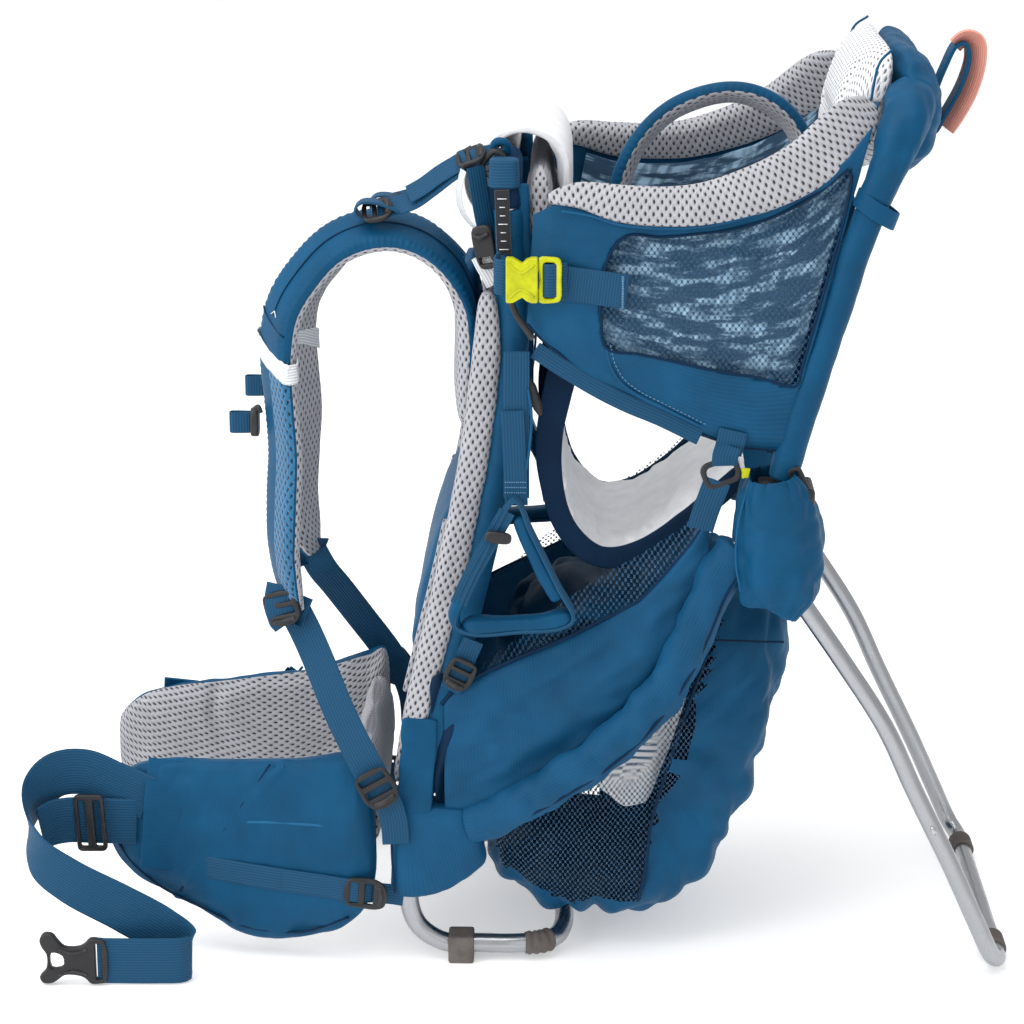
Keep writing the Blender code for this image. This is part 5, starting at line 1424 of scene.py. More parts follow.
def build_hip_buckles():
    x, y, z = MALE_HINGE
    matrix = axes((x, y, z), (1.0, 0.0, 0.0), (0.0, -1.0, 0.0))
    outline = soft_outline([(-0.0012, -0.0170), (-0.0060, -0.0184), (-0.0125, -0.0186), (-0.0170, -0.0140),
                            (-0.0220, -0.0118),
                            (-0.0330, -0.0116), (-0.0375, -0.0150), (-0.0430, -0.0183), (-0.0500, -0.0180),
                            (-0.0522, -0.0130),
                            (-0.0480, -0.0080), (-0.0462, -0.0030), (-0.0464, 0.0060), (-0.0500, 0.0120),
                            (-0.0512, 0.0180),
                            (-0.0480, 0.0226), (-0.0415, 0.0222), (-0.0370, 0.0165), (-0.0325, 0.0118),
                            (-0.0220, 0.0116),
                            (-0.0170, 0.0142), (-0.0125, 0.0186), (-0.0060, 0.0184), (-0.0012, 0.0170)])
    slot = rounded(0.0046, 0.0300, 0.0015, 3, (-0.0063, 0.0))
    window = soft_outline([(-0.0425, -0.0060), (-0.0340, -0.0045), (-0.0340, 0.0045), (-0.0425, 0.0070)])
    moulding("hip_buckle_male_plate", outline, [slot, window], 0.0070, matrix, "black", "hip_buckle_male",
             ("hip_buckle_male",), edge=0.0016)
    for sign in (-1, 1):
        rib = smooth([(x - 0.015, y - 0.0035, z + sign * 0.0105),
                      (x - 0.026, y - 0.0040, z + sign * 0.0075),
                      (x - 0.037, y - 0.0035, z + sign * 0.0110)], 6)
        round_line("hip_buckle_rib_%d" % (sign + 1), rib, 0.0011, "black", "hip_buckle_male", 8)
    x, y, z = FEMALE_HINGE
    matrix = axes((x + 0.001, y, z), (1.0, 0.0, 0.0), (0.0, 1.0, 0.0))
    hollow_body("hip_buckle_socket", matrix, 0.049, 0.037, 0.0118, 0.0019, 0.0050, "black",
                "hip_buckle_female", ("hip_buckle_female",))
    grip = [(x + 0.020, y + 0.0060, z - 0.009), (x + 0.026, y + 0.0064, z),
            (x + 0.020, y + 0.0060, z + 0.009)]
    round_line("hip_buckle_socket_rib", smooth(grip, 6), 0.0010, "black", "hip_buckle_female", 8)


def build_grab_loop():
    """The hand loop behind the headrest: a blue binding round a coral strap."""
    x0, z0 = LOOP_BASE.x, LOOP_BASE.z
    outline = [(0.000, 0.000), (0.0035, 0.026), (0.0115, 0.050), (0.0195, 0.0660), (0.0262, 0.0672),
               (0.0290, 0.0570), (0.0238, 0.0360), (0.0128, 0.0140), (0.0055, 0.001)]
    rows = [(x0 + a, 0.0, z0 + b, 0.0255, 0.0030) for a, b in outline]
    strap("grab_loop_binding", rows, 0.026, ALONG_Y, "blue_plain", "rear_grab_loop", ("rear_grab_loop",),
          spacing=0.0018, closed=True)
    coral = [(0.0110, 0.0040), (0.0190, 0.0165), (0.0275, 0.0345), (0.0322, 0.0560), (0.0305, 0.0690),
             (0.0235, 0.0712), (0.0165, 0.0655)]
    def turned(tangent, _row):
        return Vector((-tangent.z * 0.62, 0.78, tangent.x * 0.62))
    strap("grab_loop_coral", [(x0 + a + 0.002, -0.004, z0 + b, 0.0225, 0.0020) for a, b in coral], 0.0225,
          turned, "coral", "rear_grab_loop", spacing=0.0018)
    for side, s in SIDES:
        path = route([(x0 + a + 0.0016, s * 0.0105, z0 + b) for a, b in coral[:-2]], 0.003)
        stitches("grab_loop_stitch_" + side, path, (0.9, 0, -0.4), "coral", "rear_grab_loop")


# ---------------------------------------------------------------- wearer's harness
STRAP_ROWS = ((-0.0425, 0.070, 0.4235, 0.55, 0.45, -6), (-0.0422, 0.070, 0.432, 0.92, 0.9, -6),
              (-0.0420, 0.070, 0.445, 1.0, 1.0, -6),
              (-0.0405, 0.070, 0.496, 1.0, 1.0, -6), (-0.0430, 0.070, 0.523, 1.0, 1.0, 0),
              (-0.0540, 0.071, 0.548, 1.0, 1.0, 10), (-0.0720, 0.072, 0.565, 1.0, 1.0, 17),
              (-0.0940, 0.073, 0.573, 1.0, 1.0, 20), (-0.1170, 0.074, 0.572, 1.0, 1.0, 22),
              (-0.1400, 0.075, 0.562, 1.0, 1.0, 24), (-0.1600, 0.076, 0.542, 1.0, 1.0, 26),
              (-0.1770, 0.076, 0.515, 1.0, 1.0, 28), (-0.1830, 0.076, 0.484, 1.0, 0.9, 30),
              (-0.1810, 0.076, 0.442, 0.95, 0.8, 30), (-0.1790, 0.076, 0.402, 0.95, 0.8, 30),
              (-0.1810, 0.076, 0.363, 0.95, 0.8, 30), (-0.1820, 0.075, 0.323, 0.9, 0.8, 28),
              (-0.1770, 0.074, 0.292, 0.72, 0.75, 24), (-0.1705, 0.073, 0.276, 0.40, 0.45, 20))


def sag(s, x, z):
    """How much lower the right strap lies than the left one, nothing at its two ends."""
    if s < 0:
        return 0.0
    low, high = (0.440, 0.548) if x > -0.06 else (0.363, 0.542)
    return RIGHT_SAG * min(1.0, max(0.0, (z - low) / (high - low)))


def strap_line(s, spacing):
    """The shoulder strap's rows: place, width, thickness and the turn of its face."""
    rows = []
    for x, y, z, wide, thick, lean in STRAP_ROWS:
        rows.append((x, s * y, z - sag(s, x, z), wide * STRAP_WIDE, thick * STRAP_THICK, lean))
    return even(smooth(rows, 10), spacing)


def strap_frame(s, rows):
    """The strap's directions: along it, across its width and out of its outer face."""
    def across(tangent, row):
        outward = Vector((tangent.z, 0.0, -tangent.x)).normalized()
        turn = math.radians(row[5])
        return Vector((0, s, 0)) * math.cos(turn) - outward * math.sin(turn)
    along, wide, out = directions(rows, across)
    return along, wide, out * s


def on_strap(s, rows, part, x, lift=0.0):
    """A place on the strap: part of its length, x from -1 to 1 over its width, lift above its outer face."""
    _, wide, out = strap_frame(s, rows)
    k = part * (len(rows) - 1)
    i = int(min(len(rows) - 2, k))
    t = k - i
    blend = lambda a: a[i] * (1 - t) + a[i + 1] * t
    face = (1 - abs(x) ** 3.226) ** 0.31
    above = blend(rows[:, 4]) / 2 * face + lift
    return blend(rows[:, :3]) + blend(wide) * x * blend(rows[:, 3]) / 2 + blend(out) * above


def build_shoulder_harness():
    ring = 36
    x, y = oval(ring, 0.62)
    for side, s in SIDES:
        rows = strap_line(s, 0.0017)
        _, wide, out = strap_frame(s, rows)
        grid = (rows[:, None, :3] + wide[:, None] * (x[None, :, None] * rows[:, None, 3:4] / 2)
                + out[:, None] * (y[None, :, None] * rows[:, None, 4:5] / 2))
        length = distances(rows)
        edge = np.exp(-((np.abs(x) - 0.86) / 0.12) ** 2) * (y > -0.25)
        phase = length / 0.0048 + np.array([0.35 * noise.noise(Vector((d * 90, s, 2))) for d in length])
        gather = 0.00075 * np.sin(phase * 2 * math.pi)[:, None] * edge[None, :]
        groove = -0.0011 * np.exp(-((np.abs(x) - 0.93) / 0.05) ** 2)[None, :] * (np.abs(y) < 0.55)[None, :]
        line = -0.0010 * np.exp(-((x - 0.10) / 0.045) ** 2)[None, :] * (y > 0)[None, :]
        line = line * (length < 0.255)[:, None]
        grid = grid + surface_normals(grid, True) * (gather + groove + line)[..., None]
        stripe_from = 0.61 * len(rows)
        def zone(i, j, start=stripe_from):
            middle_x, middle_y = (x[j] + x[(j + 1) % ring]) / 2, (y[j] + y[(j + 1) % ring]) / 2
            if middle_y < -0.10:
                return 1
            return 2 if i > start and 0.02 < middle_x < 0.98 else 0
        obj = grid_object("shoulder_strap_cushion_" + side, grid, ["blue_plain", "mesh", "mesh_blue"], zone)
        puff(obj, 2.5, 0.0016)
        placed(obj, "blue_plain", "shoulder_harness", ("shoulder_strap_" + side,), levels=1)
        share = np.linspace(0.16, 0.555, 70)
        round_line("strap_fold_" + side, [on_strap(s, rows, t, 0.10, 0.0004) for t in share], 0.0007,
                   "navy", "shoulder_harness", 8)
        cross = [on_strap(s, rows, 0.565 + 0.012 * a, a, 0.0004) for a in np.linspace(-0.86, 0.86, 24)]
        round_line("strap_cross_seam_" + side, cross, 0.0007, "navy", "shoulder_harness", 8)
        tick = [on_strap(s, rows, 0.548 + 0.010 * abs(a), 0.12 + 0.28 * a,
                         0.0010) for a in (-0.6, 0.0, 0.6)]
        round_line("strap_tick_" + side, tick, 0.0004, "tick", "shoulder_harness", 6)
        share = np.linspace(0.63, 0.985, 80)
        round_line("strap_stripe_seam_" + side, [on_strap(s, rows, t, 0.0, 0.0004) for t in share], 0.0006,
                   "binding", "shoulder_harness", 8)
        build_elastic(side, s, rows)
        build_sternum(side, s)
        tail = [(-0.1705, 0.073, 0.2880), (-0.1755, 0.077, 0.2760), (-0.1800, 0.080, 0.2660),
                (-0.1835, 0.0825, 0.2740),
                (-0.1850, 0.0825, 0.2880), (-0.1835, 0.0810, 0.2980)]
        strap("strap_end_fold_" + side, [(a, s * b, c, WEB_SHOULDER, 0.0016) for a, b, c in tail],
              WEB_SHOULDER, (0.86, s * 0.15, 0.5), "web",
              "shoulder_harness", spacing=0.002)
        ladder_lock("strap_end_lock_" + side, (-0.1835, s * 0.0830, 0.2800), (0.30, s * 0.12, -1.0),
                    (-0.35, s * 0.94, 0.0), WEB_SHOULDER - 0.003,
                    "shoulder_harness")
    rows = [(-0.040, 0.0, 0.433, 0.070, 0.004), (-0.040, 0.0, 0.437, 0.080, 0.010),
            (-0.040, 0.0, 0.486, 0.083, 0.0115), (-0.040, 0.0, 0.535, 0.080, 0.010),
            (-0.040, 0.0, 0.5395, 0.070, 0.004)]
    rows = even(smooth(rows, 6), 0.003)
    grid = crumple(sections(rows, ALONG_Y, 30, 0.35), 0.0010, 30.0, 71)
    obj = placed(grid_object("yoke_cushion", grid, ["blue_plain"]), "blue_plain", "shoulder_harness",
                 ("yoke_plate",), levels=1)
    for k in range(4):
        z = 0.447 + 0.026 * k
        strap("yoke_rung_%d" % k, [(-0.0468, y_, z, 0.012, 0.0014) for y_ in np.linspace(-0.036, 0.036, 8)],
              0.012, (0, 0, 1.0), "web", "shoulder_harness")


def build_elastic(side, s, rows):
    """The white elastic loop drawn round the strap."""
    along, wide, out = strap_frame(s, rows)
    k = int(0.615 * len(rows))
    x, y = oval(40, 0.62)
    loop = []
    for a, b in zip(x, y):
        slant = int(k + 5.5 * a)
        centre = rows[slant]
        across, above = a * (centre[3] / 2 + 0.0012), b * (centre[4] / 2 + 0.0013)
        loop.append((*(centre[:3] + wide[slant] * across + out[slant] * above), 0.0155, 0.0011))
    loop = np.array(loop)
    grid = sections(loop, np.broadcast_to(along[k], (40, 3)), 14, 0.3)
    obj = grid_object("strap_elastic_" + side, grid, ["elastic"], close=True)
    placed(obj, "elastic", "shoulder_harness", sharp=60)


def build_sternum(side, s):
    """A sternum strap clip on its strap, with a folded webbing tab."""
    body = "sternum_slider_" + side
    x, y, z = -0.2035, s * 0.057, 0.4210
    clip = [(-0.0105, -0.0040), (-0.0070, -0.0075), (0.0070, -0.0075), (0.0105, -0.0040), (0.0105, 0.0040),
            (0.0070, 0.0075), (-0.0070, 0.0075), (-0.0105, 0.0040)]
    moulding("sternum_clip_" + side, soft_outline(clip), [rounded(0.0150, 0.0042, 0.0012, 3, (0.0, 0.0))],
             0.0062,
             axes((x, y, z), (0, 0, 1.0), (-1.0, 0.0, 0.0)), "black", body, ("sternum_slider_" + side,),
             edge=0.0014)
    hook = smooth([(x + 0.001, y + s * 0.006, z + 0.0125), (x + 0.004, y + s * 0.010, z + 0.0145),
                   (x + 0.006, y + s * 0.0115, z + 0.0100)], 6)
    round_line("sternum_hook_" + side, hook, 0.0017, "black", body, 10)
    fold = [(x + 0.0030, y + 0.0010, z), (x - 0.0040, y + 0.0022, z), (x - 0.0120, y + 0.0030, z),
            (x - 0.0178, y + 0.0026, z), (x - 0.0190, y, z), (x - 0.0178, y - 0.0026, z),
            (x - 0.0120, y - 0.0030, z), (x - 0.0040, y - 0.0022, z), (x + 0.0030, y - 0.0010, z)]
    strap("sternum_tab_" + side, [(*p, 0.0165, 0.0013) for p in fold], WEB_NARROW, (0, 0, 1.0),
          "web_ribbed", body, spacing=0.0014)


def build_lifters():
    """Load lifters: fixed at the frame's top, riding with the harness on the shoulder strap."""
    def facing(tangent, _row):
        return Vector((-tangent.z * 0.66, 0.75, tangent.x * 0.66))
    for side, s in SIDES:
        drop = RIGHT_SAG if s > 0 else 0.0
        path = [(-0.1060, 0.0835, 0.5905), (-0.0950, 0.084, 0.5925), (-0.0800, 0.0850, 0.5985),
                (-0.0650, 0.0862, 0.6085), (-0.0520, 0.0872, 0.6180), (-0.0400, 0.0880, 0.6275),
                (-0.0300, 0.088, 0.6310), (-0.0215, 0.088, 0.6320)]
        wave = lambda k: 0.0008 * math.sin(k * 2.1)
        points = [(a, s * b, c + wave(k) - drop, WEB_LIFTER, 0.0016) for k, (a, b, c) in enumerate(path)]
        lifter = strap("lifter_web_" + side, points, WEB_LIFTER, facing, "web", None,
                       ("load_lifter_" + side,), spacing=0.002)
        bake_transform(lifter)
        doubled = [(-0.0830, 0.0850, 0.6020), (-0.0720, 0.0858, 0.6085), (-0.0600, 0.0866, 0.6175),
                   (-0.0480, 0.0876, 0.6250), (-0.0400, 0.0880, 0.6300)]
        doubled = [(a, s * b, c - drop, 0.0165, 0.0014) for a, b, c in doubled]
        second = strap("lifter_return_" + side, doubled, WEB_LIFTER, facing, "web", None, spacing=0.002)
        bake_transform(second)
        fold = [(-0.0900, 0.083, 0.5900), (-0.0980, 0.083, 0.5935), (-0.1080, 0.083, 0.5965),
                (-0.1180, 0.0825, 0.5960), (-0.1225, 0.082, 0.5910), (-0.1190, 0.0815, 0.5850),
                (-0.1080, 0.081, 0.5830)]
        strap("lifter_fold_" + side, [(a, s * b, c - drop, WEB_LIFTER, 0.0018) for a, b, c in fold],
              WEB_LIFTER, (0.0, 1.0, 0.0), "web", "shoulder_harness", spacing=0.002)
        ladder_lock("lifter_lock_" + side, (-0.1060, s * 0.0850, 0.5900 - drop), (1.0, 0.0, 0.22),
                    (-0.22, s * 0.55, 0.85), 0.0155, "shoulder_harness", length=0.020)
        ladder_lock("lifter_top_lock_" + side, (-0.0365, s * 0.0880, 0.6310 - drop), (1.0, 0.0, 0.35),
                    (-0.33, s * 0.35, 0.88), 0.0160, length=0.020)
        hook = smooth([(-0.0250, s * 0.0930, 0.6310 - drop), (-0.0185, s * 0.0960, 0.6365 - drop),
                       (-0.0130, s * 0.0975, 0.6330 - drop), (-0.0160, s * 0.0975, 0.6240 - drop),
                       (-0.0235, s * 0.0960, 0.6190 - drop), (-0.0290, s * 0.0945, 0.6225 - drop)], 6,
                       closed=True)
        round_line("lifter_hook_" + side, hook, 0.0024, "black", segments=12, closed=True)
        knot = smooth([(-0.0200, s * 0.0930, 0.6390 - drop), (-0.0170, s * 0.0980, 0.6440 - drop),
                       (-0.0110, s * 0.0985, 0.6430 - drop), (-0.0095, s * 0.0950, 0.6370 - drop),
                       (-0.0140, s * 0.0920, 0.6340 - drop)], 6, closed=True)
        round_line("hook_loop_" + side, knot, 0.0027, "blue_plain", segments=14, closed=True)
        white = [(-0.0420, 0.1000, 0.6230), (-0.0455, 0.1005, 0.6060), (-0.0420, 0.1010, 0.5910),
                 (-0.0330, 0.1020, 0.5800)]
        strap("lifter_white_loop_" + side, [(a, s * b, c - drop, 0.0150, 0.0011) for a, b, c in white],
              0.015, (0.3, s * 0.93, 0.1), "elastic", spacing=0.002)
        blue = [(-0.0330, 0.1010, 0.6255), (-0.0300, 0.1035, 0.6060), (-0.0265, 0.1055, 0.5870),
                (-0.0225, 0.1065, 0.5720)]
        strap("lifter_blue_loop_" + side, [(a, s * b, c - drop, 0.0150, 0.0013) for a, b, c in blue], 0.015,
              (0.85, s * -0.5, 0.1), "web", spacing=0.002)
        matrix = axes((-0.0262, s * 0.1105, 0.5680 - drop), (0.22, 0.0, -1.0), (-0.3, s * 1.0, 0.0))
        cam = soft_outline([(-0.0150, -0.0062), (-0.004, -0.0082), (0.010, -0.0072), (0.0155, -0.0045),
                            (0.0155, 0.0045), (0.010, 0.0072), (-0.004, 0.0082), (-0.0150, 0.0062)])
        moulding("cam_buckle_" + side, cam, [rounded(0.0050, 0.0095, 0.0010, 3, (0.0095, 0.0))], 0.0056,
                 matrix, "black", edge=0.0014)
        lever = ((-0.0095, -0.0055, 0.0030), (-0.0080, 0.0, 0.0050), (-0.0095, 0.0055, 0.0030))
        lever = smooth([matrix @ Vector(p) for p in lever], 6)
        round_line("cam_lever_" + side, lever, 0.0019, "black", segments=10)
        tail = [(-0.0300, 0.1060, 0.5610), (-0.0262, 0.1080, 0.5540), (-0.0215, 0.1085, 0.5460),
                (-0.0185, 0.1080, 0.5400)]
        strap("cam_tail_" + side, [(a, s * b, c - drop, 0.0140, 0.0011) for a, b, c in tail], 0.014,
              (0.86, 0.0, 0.5), "elastic", spacing=0.002)


def build_lower_straps():
    for side, s in SIDES:
        path = [(-0.1735, 0.0780, 0.2750), (-0.1660, 0.0800, 0.2600), (-0.1560, 0.092, 0.2420),
                (-0.1380, 0.116, 0.2070), (-0.1180, 0.1325, 0.1720), (-0.1080, 0.1355, 0.1540)]
        lower = strap("lower_web_" + side, [(a, s * b, c, WEB_SHOULDER, 0.0015) for a, b, c in path],
                      WEB_SHOULDER, (0.87, 0.0, 0.5), "web", None, ("lower_strap_" + side,), spacing=0.0025)
        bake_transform(lower)
        ladder_lock("lower_lock_" + side, (-0.1085, s * 0.1375, 0.1540), (0.50, 0.0, -0.87),
                    (0.0, s * 1.0, 0.0), WEB_SHOULDER - 0.004, length=0.028)
        tail = [(-0.1085, 0.1345, 0.1560), (-0.1010, 0.1345, 0.1420), (-0.0965, 0.1335, 0.1260),
                (-0.0950, 0.1320, 0.1060)]
        strap("lower_tail_" + side, [(a, s * b, c, 0.0210, 0.0015) for a, b, c in tail], 0.021,
              (0.87, 0.0, 0.4), "web", spacing=0.0025)


# ---------------------------------------------------------------- hip belt
FIN_ROWS = ((-0.1105, 0.1150, 0.080, 0.165, 0.008), (-0.1130, 0.1150, 0.062, 0.178, 0.018),
            (-0.1300, 0.1135, 0.032, 0.176, 0.0235),
            (-0.1700, 0.1060, 0.015, 0.167, 0.0255), (-0.2140, 0.0980, 0.014, 0.163, 0.0265),
            (-0.2500, 0.0910, 0.030, 0.160, 0.0255), (-0.2800, 0.0860, 0.044, 0.157, 0.0235),
            (-0.3050, 0.0820, 0.058, 0.149, 0.0190), (-0.3200, 0.0798, 0.076, 0.136, 0.0130),
            (-0.3250, 0.0790, 0.088, 0.127, 0.0070))


def fin_place(s, reach, x, y, z):
    return (FIN_HINGE.x + (x - FIN_HINGE.x) * reach, s * y, z)


def fin_face(x, z, lift=0.0):
    """The middle plane's distance plus half the pad's thickness, at a place on the fin."""
    spots_ = [(r[0], r[1]) for r in reversed(FIN_ROWS)]
    thick = table([(r[0], r[4]) for r in reversed(FIN_ROWS)], x)
    low = table([(r[0], r[2]) for r in reversed(FIN_ROWS)], x)
    high = table([(r[0], r[3]) for r in reversed(FIN_ROWS)], x)
    a = (2 * z - low - high) / (high - low)
    face = max(0.0, 1 - abs(a) ** 3.636) ** 0.275
    return table(spots_, x) + thick / 2 * face + lift


FIN_CHANNEL = ((-0.2480, 0.1520), (-0.2490, 0.1300), (-0.2400, 0.1130), (-0.2080, 0.1020),
               (-0.1660, 0.0930), (-0.1400, 0.0900))


def line_distance(x, z, line):
    """How far each place of a grid is from a line, in X and Z."""
    gaps = np.hypot(x[..., None] - line[:, 0], z[..., None] - line[:, 2])
    return gaps.min(axis=-1)


def build_hip_belt():
    near = [(-0.290, 0.0975, 0.128), (-0.315, 0.0945, 0.138), (-0.340, 0.0935, 0.148),
            (-0.362, 0.099, 0.147),
            (-0.376, 0.110, 0.133), (-0.3785, 0.126, 0.113), (-0.368, 0.141, 0.095), (-0.345, 0.149, 0.080),
            (-0.305, 0.150, 0.058), (-0.275, 0.147, 0.038), (-0.258, 0.148, 0.024),
            (-0.2535, 0.154, 0.0207),
            (-0.258, 0.1605, 0.0203), (-0.280, 0.163, 0.0203), (-0.3240, 0.163, 0.0203)]
    far = [(-0.282, 0.1020, 0.104), (-0.262, 0.1080, 0.086), (-0.235, 0.120, 0.060), (-0.205, 0.135, 0.034),
           (-0.178, 0.147, 0.0213), (-0.1505, 0.153, 0.0203)]
    for side, s in SIDES:
        reach = 1.0 if side == "left" else 1.07
        body = "hip_fin_" + side
        rows = []
        for x, y, low, high, thick in FIN_ROWS:
            px, py, pz = fin_place(s, reach, x, y, (low + high) / 2)
            rows.append((px, py, pz, high - low, thick))
        rows = even(smooth(rows, 6), 0.0030)
        wide = np.tile((0.0, 0.0, 1.0), (len(rows), 1))
        out = np.tile((0.0, s, 0.0), (len(rows), 1))
        x, y = oval(56, 0.55)
        grid = (rows[:, None, :3] + wide[:, None] * (x[None, :, None] * rows[:, None, 3:4] / 2)
                + out[:, None] * (y[None, :, None] * rows[:, None, 4:5] / 2))
        channel = np.zeros(grid.shape[:2])
        lean = (grid[:, :, 0] - FIN_HINGE.x) / reach + FIN_HINGE.x + 0.182
        slope = ((grid[:, :, 2] - 0.165) - lean * 1.36) / 0.005
        channel -= 0.0022 * np.exp(-slope ** 2) * (y[None, :] > 0.2)
        channel -= 0.0016 * np.exp(-((np.abs(x) - 0.94) / 0.04) ** 2)[None, :]
        own_x = (grid[:, :, 0] - FIN_HINGE.x) / reach + FIN_HINGE.x
        away = line_distance(own_x, grid[:, :, 2], route([(a, 0.0, b) for a, b in FIN_CHANNEL], 0.003))
        channel -= 0.0034 * np.exp(-(away / 0.0055) ** 2) * (y[None, :] < -0.2)
        grid = grid + surface_normals(grid, True) * channel[..., None]
        grid = crumple(grid, 0.0024, 20.0, 81 + s, mask=(y > 0)[None, :] * np.ones((len(rows), 1)))
        obj = grid_object("hip_cushion_" + side, grid, ["blue_plain", "mesh"], lambda i,
                          j: 0 if (y[j] + y[(j + 1) % 56]) / 2 > -0.15 else 1)
        puff(obj, 2.5, 0.0025)
        placed(obj, "blue_plain", body, ("hip_fin_" + side,), levels=1)
        lines = (("fin_piping_front", [(-0.1930, 0.1620), (-0.2150, 0.1290), (-0.2400, 0.0920),
                                       (-0.2680, 0.0500)], 0.0011, "navy"),
                 ("fin_piping_rear", [(-0.1820, 0.1620), (-0.2030, 0.1310), (-0.2280, 0.0960),
                                      (-0.2540, 0.0590)], 0.0011, "binding"),
                 ("fin_rear_seam", [(-0.1480, 0.1640), (-0.1470, 0.1350), (-0.1480, 0.0850),
                                    (-0.1480, 0.0330)], 0.0007, "navy"),
                 ("fin_zip", [(-0.2170, 0.1150), (-0.1900, 0.1165), (-0.1440, 0.1170)], 0.0014,
                  "blue_light"),
                 ("fin_curve", [(-0.1490, 0.1010), (-0.1420, 0.0930), (-0.1410, 0.0840), (-0.1430, 0.0760)],
                  0.0012, "binding"),
                 ("fin_front_seam", [(-0.3180, 0.0900), (-0.3060, 0.0720), (-0.2850, 0.0540),
                                     (-0.2530, 0.0390), (-0.2140, 0.0250), (-0.170, 0.0245),
                                     (-0.1330, 0.0400)], 0.0010, "navy"))
        for name, points, radius, look in lines:
            line = even(smooth([(a, 0.0, b) for a, b in points], 8), 0.003)
            path = [fin_place(s, reach, a, fin_face(a, b, 0.0014), b) for a, _, b in line]
            round_line(name + "_" + side, path, radius, look, body, 8)
        line = even(smooth([(a, 0.0, b) for a, b in ((-0.2150, 0.1110), (-0.1900, 0.1125),
                                                     (-0.1460, 0.1130))], 8), 0.003)
        line = [fin_place(s, reach, a, fin_face(a, b, 0.0016), b) for a, _, b in line]
        stitches("fin_zip_stitches_" + side, line, (0, s, 0), body=body)
        tape = [(-0.1875, 0.1600), (-0.2090, 0.1300), (-0.2340, 0.0940), (-0.2600, 0.0560)]
        tape = [(*fin_place(s, reach, a, fin_face(a, b, 0.0008), b), 0.0100, 0.0014) for a, b in tape]
        strap("fin_tape_" + side, tape, 0.010, (0.83, 0.0, -0.56), "blue_plain", body, spacing=0.003)
        cover = [(-0.2745, 0.1580), (-0.2775, 0.1300), (-0.2800, 0.1000), (-0.2830, 0.0700)]
        cover = [(*fin_place(s, reach, a, fin_face(a, b, 0.0042), b), 0.0300, 0.0020) for a, b in cover]
        strap("fin_front_cover_" + side, cover, 0.030, (1.0, 0.0, -0.08), "blue_plain", body, spacing=0.003)
        rows_ = [(-0.2470, 0.0750), (-0.2150, 0.0725), (-0.1850, 0.0700), (-0.1550, 0.0680),
                 (-0.1280, 0.0655), (-0.1150, 0.0640)]
        stab = []
        for k, (a, b) in enumerate(rows_):
            stab.append((*fin_place(s, reach, a, fin_face(a, b, 0.0030 + 0.0006 * k), b), 0.0190, 0.0016))
        strap("fin_stabiliser_" + side, stab, 0.019, (0, 0, 1.0), "web", body, spacing=0.003)
        stab = []
        for a, b in rows_[2:5]:
            stab.append((*fin_place(s, reach, a, fin_face(a, b, 0.0052), b + 0.0005), 0.0180, 0.0015))
        strap("fin_stabiliser_return_" + side, stab, 0.019, (0, 0, 1.0), "web", body, spacing=0.003)
        place = fin_place(s, 1.0, -0.1190, 0.1300, 0.0635)
        ladder_lock("fin_lock_" + side, place, (1.0, 0, -0.08), (-0.15, s * 1.0, 0.0), 0.0175, body,
                    length=0.030)
        anchor = [(-0.1170, 0.1265, 0.0630), (-0.1080, 0.1262, 0.0620), (-0.0980, 0.1262, 0.0610),
                  (-0.0900, 0.1268, 0.0600)]
        made = strap("fin_anchor_" + side, [(a, s * b, c, 0.0170, 0.0016) for a, b, c in anchor], 0.017,
                     (0, 0, 1.0), "web", None, spacing=0.002)
        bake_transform(made)
        line = [(a, s * b, c, WEB_HIP, WEB_THICK) for a, b, c in (near if side == "left" else far)]
        standing = lambda tangent, row: Vector((0, 0, 1)) - tangent * tangent.z
        made = strap("hip_web_" + side, line, WEB_HIP, standing, "web", body, ("hip_belt_" + side,),
                     spacing=0.003)
        path = route(np.array(line), 0.003)[:, :3]
        if side == "left":
            tuple(path[0])
            float(distances(path)[-1])
    layer = [(-0.300, -0.0965, 0.108), (-0.318, -0.0985, 0.109), (-0.335, -0.1000, 0.110),
             (-0.352, -0.1030, 0.1115), (-0.364, -0.1085, 0.1110), (-0.3715, -0.1160, 0.1090)]
    strap("hip_web_second", [(*p, WEB_HIP, WEB_THICK) for p in layer], WEB_HIP, (0, 0, 1.0), "web",
          "hip_fin_left", spacing=0.003)
    bars = [rounded(0.0055, 0.0385, 0.0012, 3, (-0.0060, 0.0)),
            rounded(0.0055, 0.0385, 0.0012, 3, (0.0060, 0.0))]
    moulding("hip_triglide", rounded(0.0240, 0.0470, 0.0040), bars, 0.0040,
             axes((-0.3350, -0.1035, 0.1095), (1.0, -0.1, 0.05), (-0.1, -1.0, 0.0)),
             "black", "hip_fin_left", edge=0.0011)


